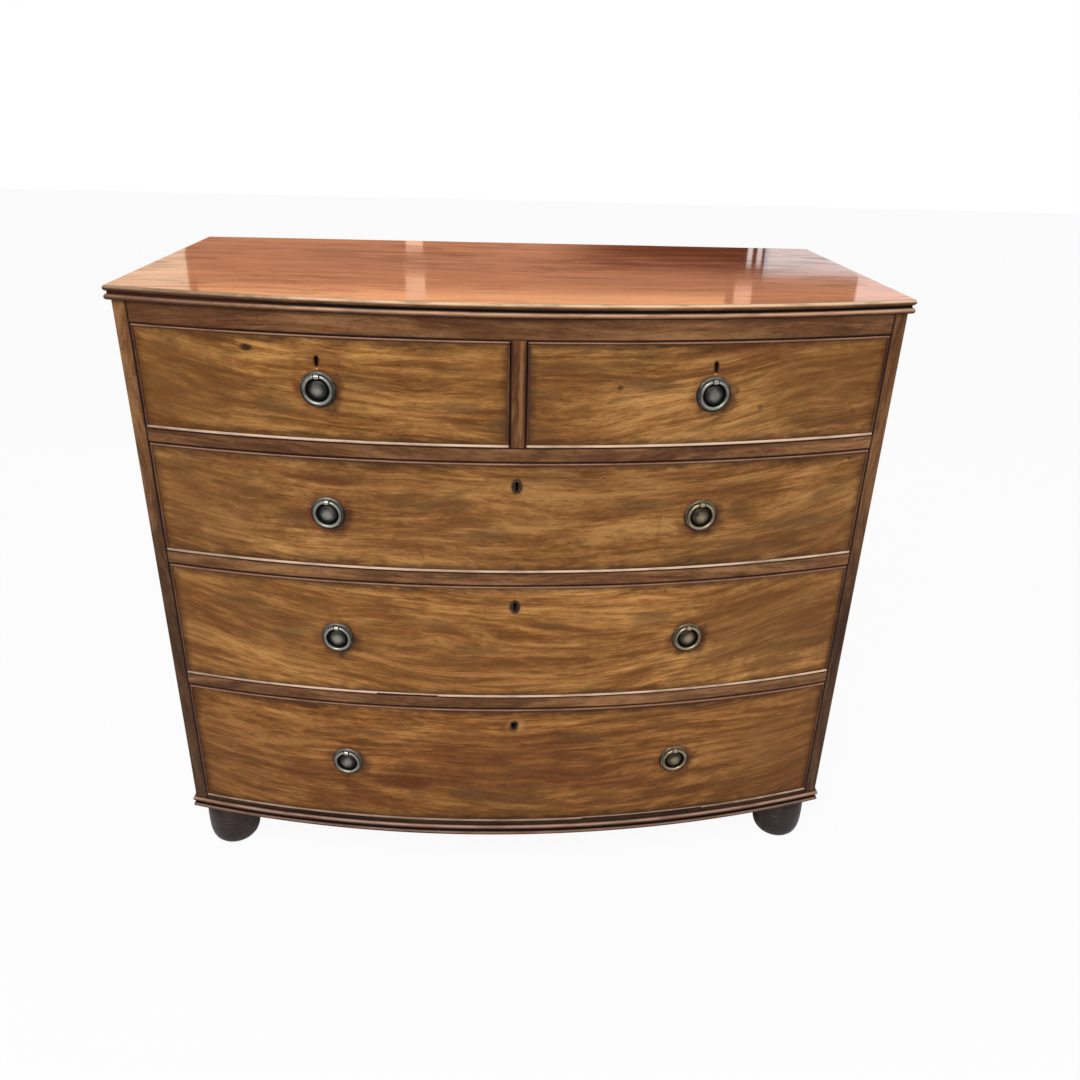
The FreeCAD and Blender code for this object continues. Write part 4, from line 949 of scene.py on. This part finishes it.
def ringWearAndLight(point):
    # brighter along the crest and towards the ring's top and bottom, a painted highlight and partly wear;
    # darker on the side against the plate, painted shade
    crest = min(1.0, max(0.0, 0.5 - point.y / ring["wire"]))
    upright = abs(point.z) / math.hypot(point.x, point.z)
    return 0.1 + (0.4 + 0.3 * upright) * crest


def handlePlate():
    bm = brassMesh()
    line = [(0.0, plate["crown"])]
    for step in range(1, 13):
        angle = step / 12 * math.pi / 2
        rise = (plate["crown"] - plate["foot"]) * math.cos(angle)
        line.append((plate["dome"] * math.sin(angle), plate["foot"] + rise))
    line += plate["border"]
    lathe(bm, [(radius * mm, -out * mm, 0) for radius, out in line], (0, 1, 0), steps=64)
    markBrightness(bm, plateWearAndLight)
    for index in range(pearls["count"]):
        grain = brassMesh()
        bmesh.ops.create_icosphere(grain, subdivisions=1, radius=pearls["radius"])
        turn = Matrix.Rotation(math.tau * index / pearls["count"], 4, "Y")
        join(bm, markBrightness(grain, 0.9), turn @ Matrix.Translation((pearls["away"], -pearls["out"], 0)))
    # the knuckle that the ring's pin turns in
    eye = brassMesh()
    centre = (0, -ring["out"], ring["pinZ"])
    bore, ease, rim = knuckle["bore"], knuckle["ease"], knuckle["radius"]
    section = [(bore, -rim), (ease, -rim), (rim, -ease), (rim, ease), (ease, rim), (bore, rim), (bore, -rim)]
    points = [(along, centre[1], centre[2] + radius) for radius, along in section]
    lathe(eye, points, (1, 0, 0), centre, steps=28)
    base = brassMesh()
    across, level = stand["across"], (centre[2] - stand["up"], centre[2] + stand["up"])
    bar(base, (-across, across), (stand["front"], stand["back"]), level, stand["ease"])
    join(eye, base)
    join(bm, markBrightness(eye, 0.95))
    # post and nut behind
    stem = brassMesh()
    radius, tip, end = stud["radius"], stud["tip"], stud["long"]
    line = [(0, 0, 0), (radius, 0, 0), (radius, stud["chamfer"], 0), (tip, end, 0), (0, end, 0)]
    lathe(stem, line, (0, 1, 0), steps=20)
    block = bmesh.new()
    half = nut["half"]
    bar(block, (-half, half), (nut["start"], nut["stop"]), (-half, half), nut["ease"])
    join(stem, block)
    join(bm, stem)
    return bm


def ringPull():
    bm = brassMesh()
    first = math.pi / 2 + ring["gap"]
    wire = bmesh.ops.create_circle(bm, cap_ends=False, segments=14, radius=ring["wire"])["verts"]
    # the section stands across the ring at its first end
    across = Matrix.Rotation(-first, 4, "Y") @ Matrix.Translation((ring["radius"], 0, 0))
    bmesh.ops.transform(bm, matrix=across, verts=wire)
    swept = {"cent": (0, 0, 0), "axis": (0, -1, 0), "angle": math.tau - 2 * ring["gap"], "steps": 72}
    bmesh.ops.spin(bm, geom=bm.verts[:] + bm.edges[:], **swept)
    bmesh.ops.remove_doubles(bm, verts=bm.verts, dist=1e-7)
    bmesh.ops.holes_fill(bm, edges=[edge for edge in bm.edges if edge.is_boundary])
    ends = [face for face in bm.faces if len(face.verts) > 4]
    rim = list({edge for face in ends for edge in face.edges})
    bmesh.ops.bevel(bm, geom=rim, offset=0.5 * mm, segments=2, profile=0.5, affect="EDGES", material=-1)
    markBrightness(bm, ringWearAndLight)
    pin = brassMesh()
    level, rod = ring["pinZ"], ring["pin"]
    reach = ring["radius"] * math.sin(ring["gap"]) + rod / 2
    line = [(-reach, 0, level), (-reach, 0, level + rod), (reach, 0, level + rod), (reach, 0, level)]
    lathe(pin, line, (1, 0, 0), (0, 0, level), 18)
    join(bm, pin)
    bm.transform(Matrix.Translation((0, -ring["out"], 0)))
    return bm


for row, span in rows.items():
    middle = (span["low"] + span["high"]) / 2
    for x in handlePlaces(row):
        hand = "left" if x < 0 else "right"
        look = looks["brassLeft"] if x < 0 or row == "top_right" else looks["brassRight"]
        ringName = f"{row}_ring" if row.startswith("top") else f"{row}_{hand}_ring"
        part = handlePlate()
        part.transform(seat(x, middle))
        replaced = [f"{row}_handle_plates"]
        finish(f"{row}_{hand}_plate", part, f"{row}_drawer", look, replaced, 34)
        part = ringPull()
        part.transform(seat(x, middle))
        finish(f"{ringName}_pull", part, ringName, look, [ringName], 34)
print("handles done")

thread = measures(wide=7.2, tall=10.6, line=2.0, proud=0.4, deep=1.0, drop=3.4)
for row in ("upper", "middle"):
    lining = brassMesh()
    verts = bmesh.ops.create_circle(lining, cap_ends=True, segments=40, radius=1)["verts"]
    bmesh.ops.rotate(lining, verts=verts, cent=(0, 0, 0), matrix=Matrix.Rotation(math.pi / 2, 3, "X"))
    bmesh.ops.scale(lining, vec=(thread["wide"], 1, thread["tall"]), verts=verts)
    border = {"use_boundary": True, "use_even_offset": True, "thickness": thread["line"]}
    bmesh.ops.inset_region(lining, faces=lining.faces[:], **border)
    core = min(lining.faces, key=lambda face: abs(len(face.verts) - 40))
    bmesh.ops.delete(lining, geom=[core], context="FACES")
    grown = bmesh.ops.extrude_face_region(lining, geom=lining.faces[:])
    moved = [part for part in grown["geom"] if isinstance(part, bmesh.types.BMVert)]
    bmesh.ops.translate(lining, vec=(0, thread["proud"] + thread["deep"], 0), verts=moved)
    markBrightness(lining, 0.35)
    place = seat(keyPlace(row), rows[row]["high"] - keyDrop - thread["drop"])
    lining.transform(place @ Matrix.Translation((0, -thread["proud"], 0)))
    finish(f"{row}_keyhole_thread", lining, f"{row}_drawer", looks["threadBrass"])
pinHead = {"radius": 1.7 * mm, "flat": 0.9 / 1.7, "drop": 14.2 * mm}
for row in ("top_left", "top_right"):
    head = brassMesh()
    bmesh.ops.create_uvsphere(head, u_segments=20, v_segments=10, radius=pinHead["radius"])
    bmesh.ops.scale(head, vec=(1, pinHead["flat"], 1), verts=head.verts)
    markBrightness(head, 0.8)
    head.transform(seat(keyPlace(row), rows[row]["high"] - keyDrop - pinHead["drop"]))
    finish(f"{row}_keyhole_pin", head, f"{row}_drawer", looks["lockBrass"], flats=False)
print("keyholes done")

carried = {  # the nodes that each look goes on, by the ends of their names
    "post": ("centre_divider",),
    "drawerSides": ("_drawer_box",),
    "drawerBottoms": ("_drawer_bottom",),
    "lockBrass": ("_lock", "_bolt"),
    "brassLeft": ("_plates", "_ring"),
    "backPine": ("back_boards",),
    "carcassPine": ("runners_and_stops", "dust_boards", "case_bottom", "corner_blocks"),
    **{row: (f"{row}_drawer_front",) for row in rows},
}
for name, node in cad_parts.items():
    kind = next((kind for kind, endings in carried.items() if name.endswith(endings)), "rail")
    node.data.materials.clear()
    node.data.materials.append(looks[kind])
print("carried-over nodes finished")

studio = {
    "floor": 12.0,  # half its width
    "floorGlow": 0.94,  # share of plain white that the camera sees in the floor
    "world": 0.4,  # strength of the light from the sky
    "dim": 0.22,  # strength of the sky behind the chest, as polish and metal see it
    "roomGlow": (1.05, 0.48, 0.27),
    "roomShade": (0.04, 0.01, 0.01),
    "key": (72.0, (-0.9, -2.4, 2.9), (2.2, 1.4)),
    "fill": (18.0, (2.2, -2.0, 1.4), (1.6, 1.6)),
}
# soft strips behind the chest, which show in the polish of the top:
# radiance, place, width and height, tint
panels = {
    "left_panel": (0.98, (-1.58, 2.0, 1.3), (0.9, 0.5), (1.0, 0.97, 0.71)),
    "slim_strip": (1.3, (-0.32, 2.0, 1.362), (0.07, 0.13), (1.0, 0.69, 0.46)),
    "slim_strip_end": (1.3, (-0.32, 2.0, 1.165), (0.06, 0.08), (1.0, 0.69, 0.48)),
    "streak_shadow": (0.1, (-0.32, 2.0, 1.251), (0.085, 0.09), (1.0, 0.5, 0.4)),
    "first_right_strip": (1.6, (0.895, 2.0, 1.18), (0.018, 0.11), (1.0, 0.95, 0.9)),
    "second_right_strip": (1.6, (0.93, 2.0, 1.18), (0.018, 0.11), (1.0, 0.95, 0.9)),
    "right_panel": (1.22, (1.4, 2.0, 1.18), (0.9, 0.17), (0.54, 0.86, 1.0)),
    "right_end_panel": (1.26, (1.645, 2.0, 1.335), (0.67, 0.16), (1.0, 0.88, 0.86)),
    "right_patch": (1.28, (0.885, 2.0, 1.36), (0.065, 0.1), (1.0, 0.62, 0.46)),
    "front_glow": (1.42, (-0.14, 2.0, 1.45), (1.92, 0.2), (1.0, 0.52, 0.24)),
}
floorMesh = bmesh.new()
bmesh.ops.create_grid(floorMesh, x_segments=1, y_segments=1, size=studio["floor"])
floor = modelled("floor", floorMesh)
sh = Shader("pale_floor")
ray = sh.add("LightPath", "Is Camera Ray")
pale = sh.add("BsdfDiffuse", "BSDF", inputs={"Color": (0.86, 0.86, 0.86, 1)})
white = sh.add("Emission", "Emission", inputs={"Color": (1, 1, 1, 1), "Strength": 1.0})
both = sh.add("MixShader", "Shader", inputs={0: ray * studio["floorGlow"], 1: pale, 2: white})
sh.add("OutputMaterial", inputs={"Surface": both})
floor.data.materials.append(sh.material)

# white behind the chest, darker towards the room in front of it, which gives the metal its shape
sky = Shader("studio", world=True)
acrossSky, alongSky, upSky = sky.split()
roomSide = sky.step(alongSky, -0.75, 0.15)
overhead = sky.step(upSky, 0.1, 0.7)
gloss = studio["dim"] + sky.maths("MAXIMUM", roomSide, overhead) * (1 - studio["dim"])
seenBy = sky.add("LightPath", "Is Camera Ray")
glossy = sky.add("LightPath", "Is Glossy Ray")
# a warm glow low behind the chest, with a dark upright patch in it
aside = acrossSky / alongSky
shade = sky.step(aside, 0.03, 0.14) * (1 - sky.step(aside, 0.285, 0.295)) * (1 - sky.step(upSky, 0.14, 0.156))
room = sky.mix(shade, studio["roomGlow"], studio["roomShade"])
low = sky.step(alongSky, 0.1, 0.5) * (1 - sky.step(upSky, 0.22, 0.5))
tinge = sky.mix(low * glossy, (1, 1, 1), room)
strength = studio["world"] + glossy * (gloss - studio["world"]) + seenBy * (1 - studio["world"])
backdrop = sky.add("Background", "Background", inputs={"Color": tinge, "Strength": strength})
sky.add("OutputWorld", inputs={"Surface": backdrop})
bpy.context.scene.world = sky.material


def softbox(name, power, place, size, target=(0.0, 0.0, 0.5), warmth=(1.0, 1.0, 1.0)):
    lamp = bpy.data.lights.new(name, "AREA")
    lamp.shape = "RECTANGLE"
    lamp.size, lamp.size_y = size
    lamp.energy = power
    lamp.color = warmth
    made = linked(name, lamp)
    made.location = place
    made.rotation_euler = (Vector(target) - Vector(place)).to_track_quat("-Z", "Y").to_euler()
    made.visible_camera = False
    return made


softbox("key_softbox", *studio["key"])
softbox("fill_softbox", *studio["fill"]).visible_glossy = False
for name, (radiance, place, size, warmth) in panels.items():
    power = radiance * math.pi * size[0] * size[1]
    softbox(name, power, place, size, (place[0], -2.0, place[2]), warmth)

view = {  # right, up and back are the camera's own axes
    "lens": 30.458,
    "sensor": 36.0,
    "eye": (-0.0302, -1.4141, 1.1685),
    "right": (0.9987343, -0.0432017, 0.0257567),
    "up": (-0.0047649, 0.4285195, 0.9035200),
    "back": (-0.0500709, -0.9024991, 0.4277713),
}
camera = bpy.data.cameras.new("camera")
camera.lens = view["lens"]
camera.sensor_width = view["sensor"]
eye = linked("camera", camera)
turn = Matrix((view["right"], view["up"], view["back"])).transposed().to_4x4()
eye.matrix_world = Matrix.Translation(view["eye"]) @ turn
bpy.context.scene.camera = eye
bpy.context.scene.view_settings.view_transform = "Standard"

print("studio ready")
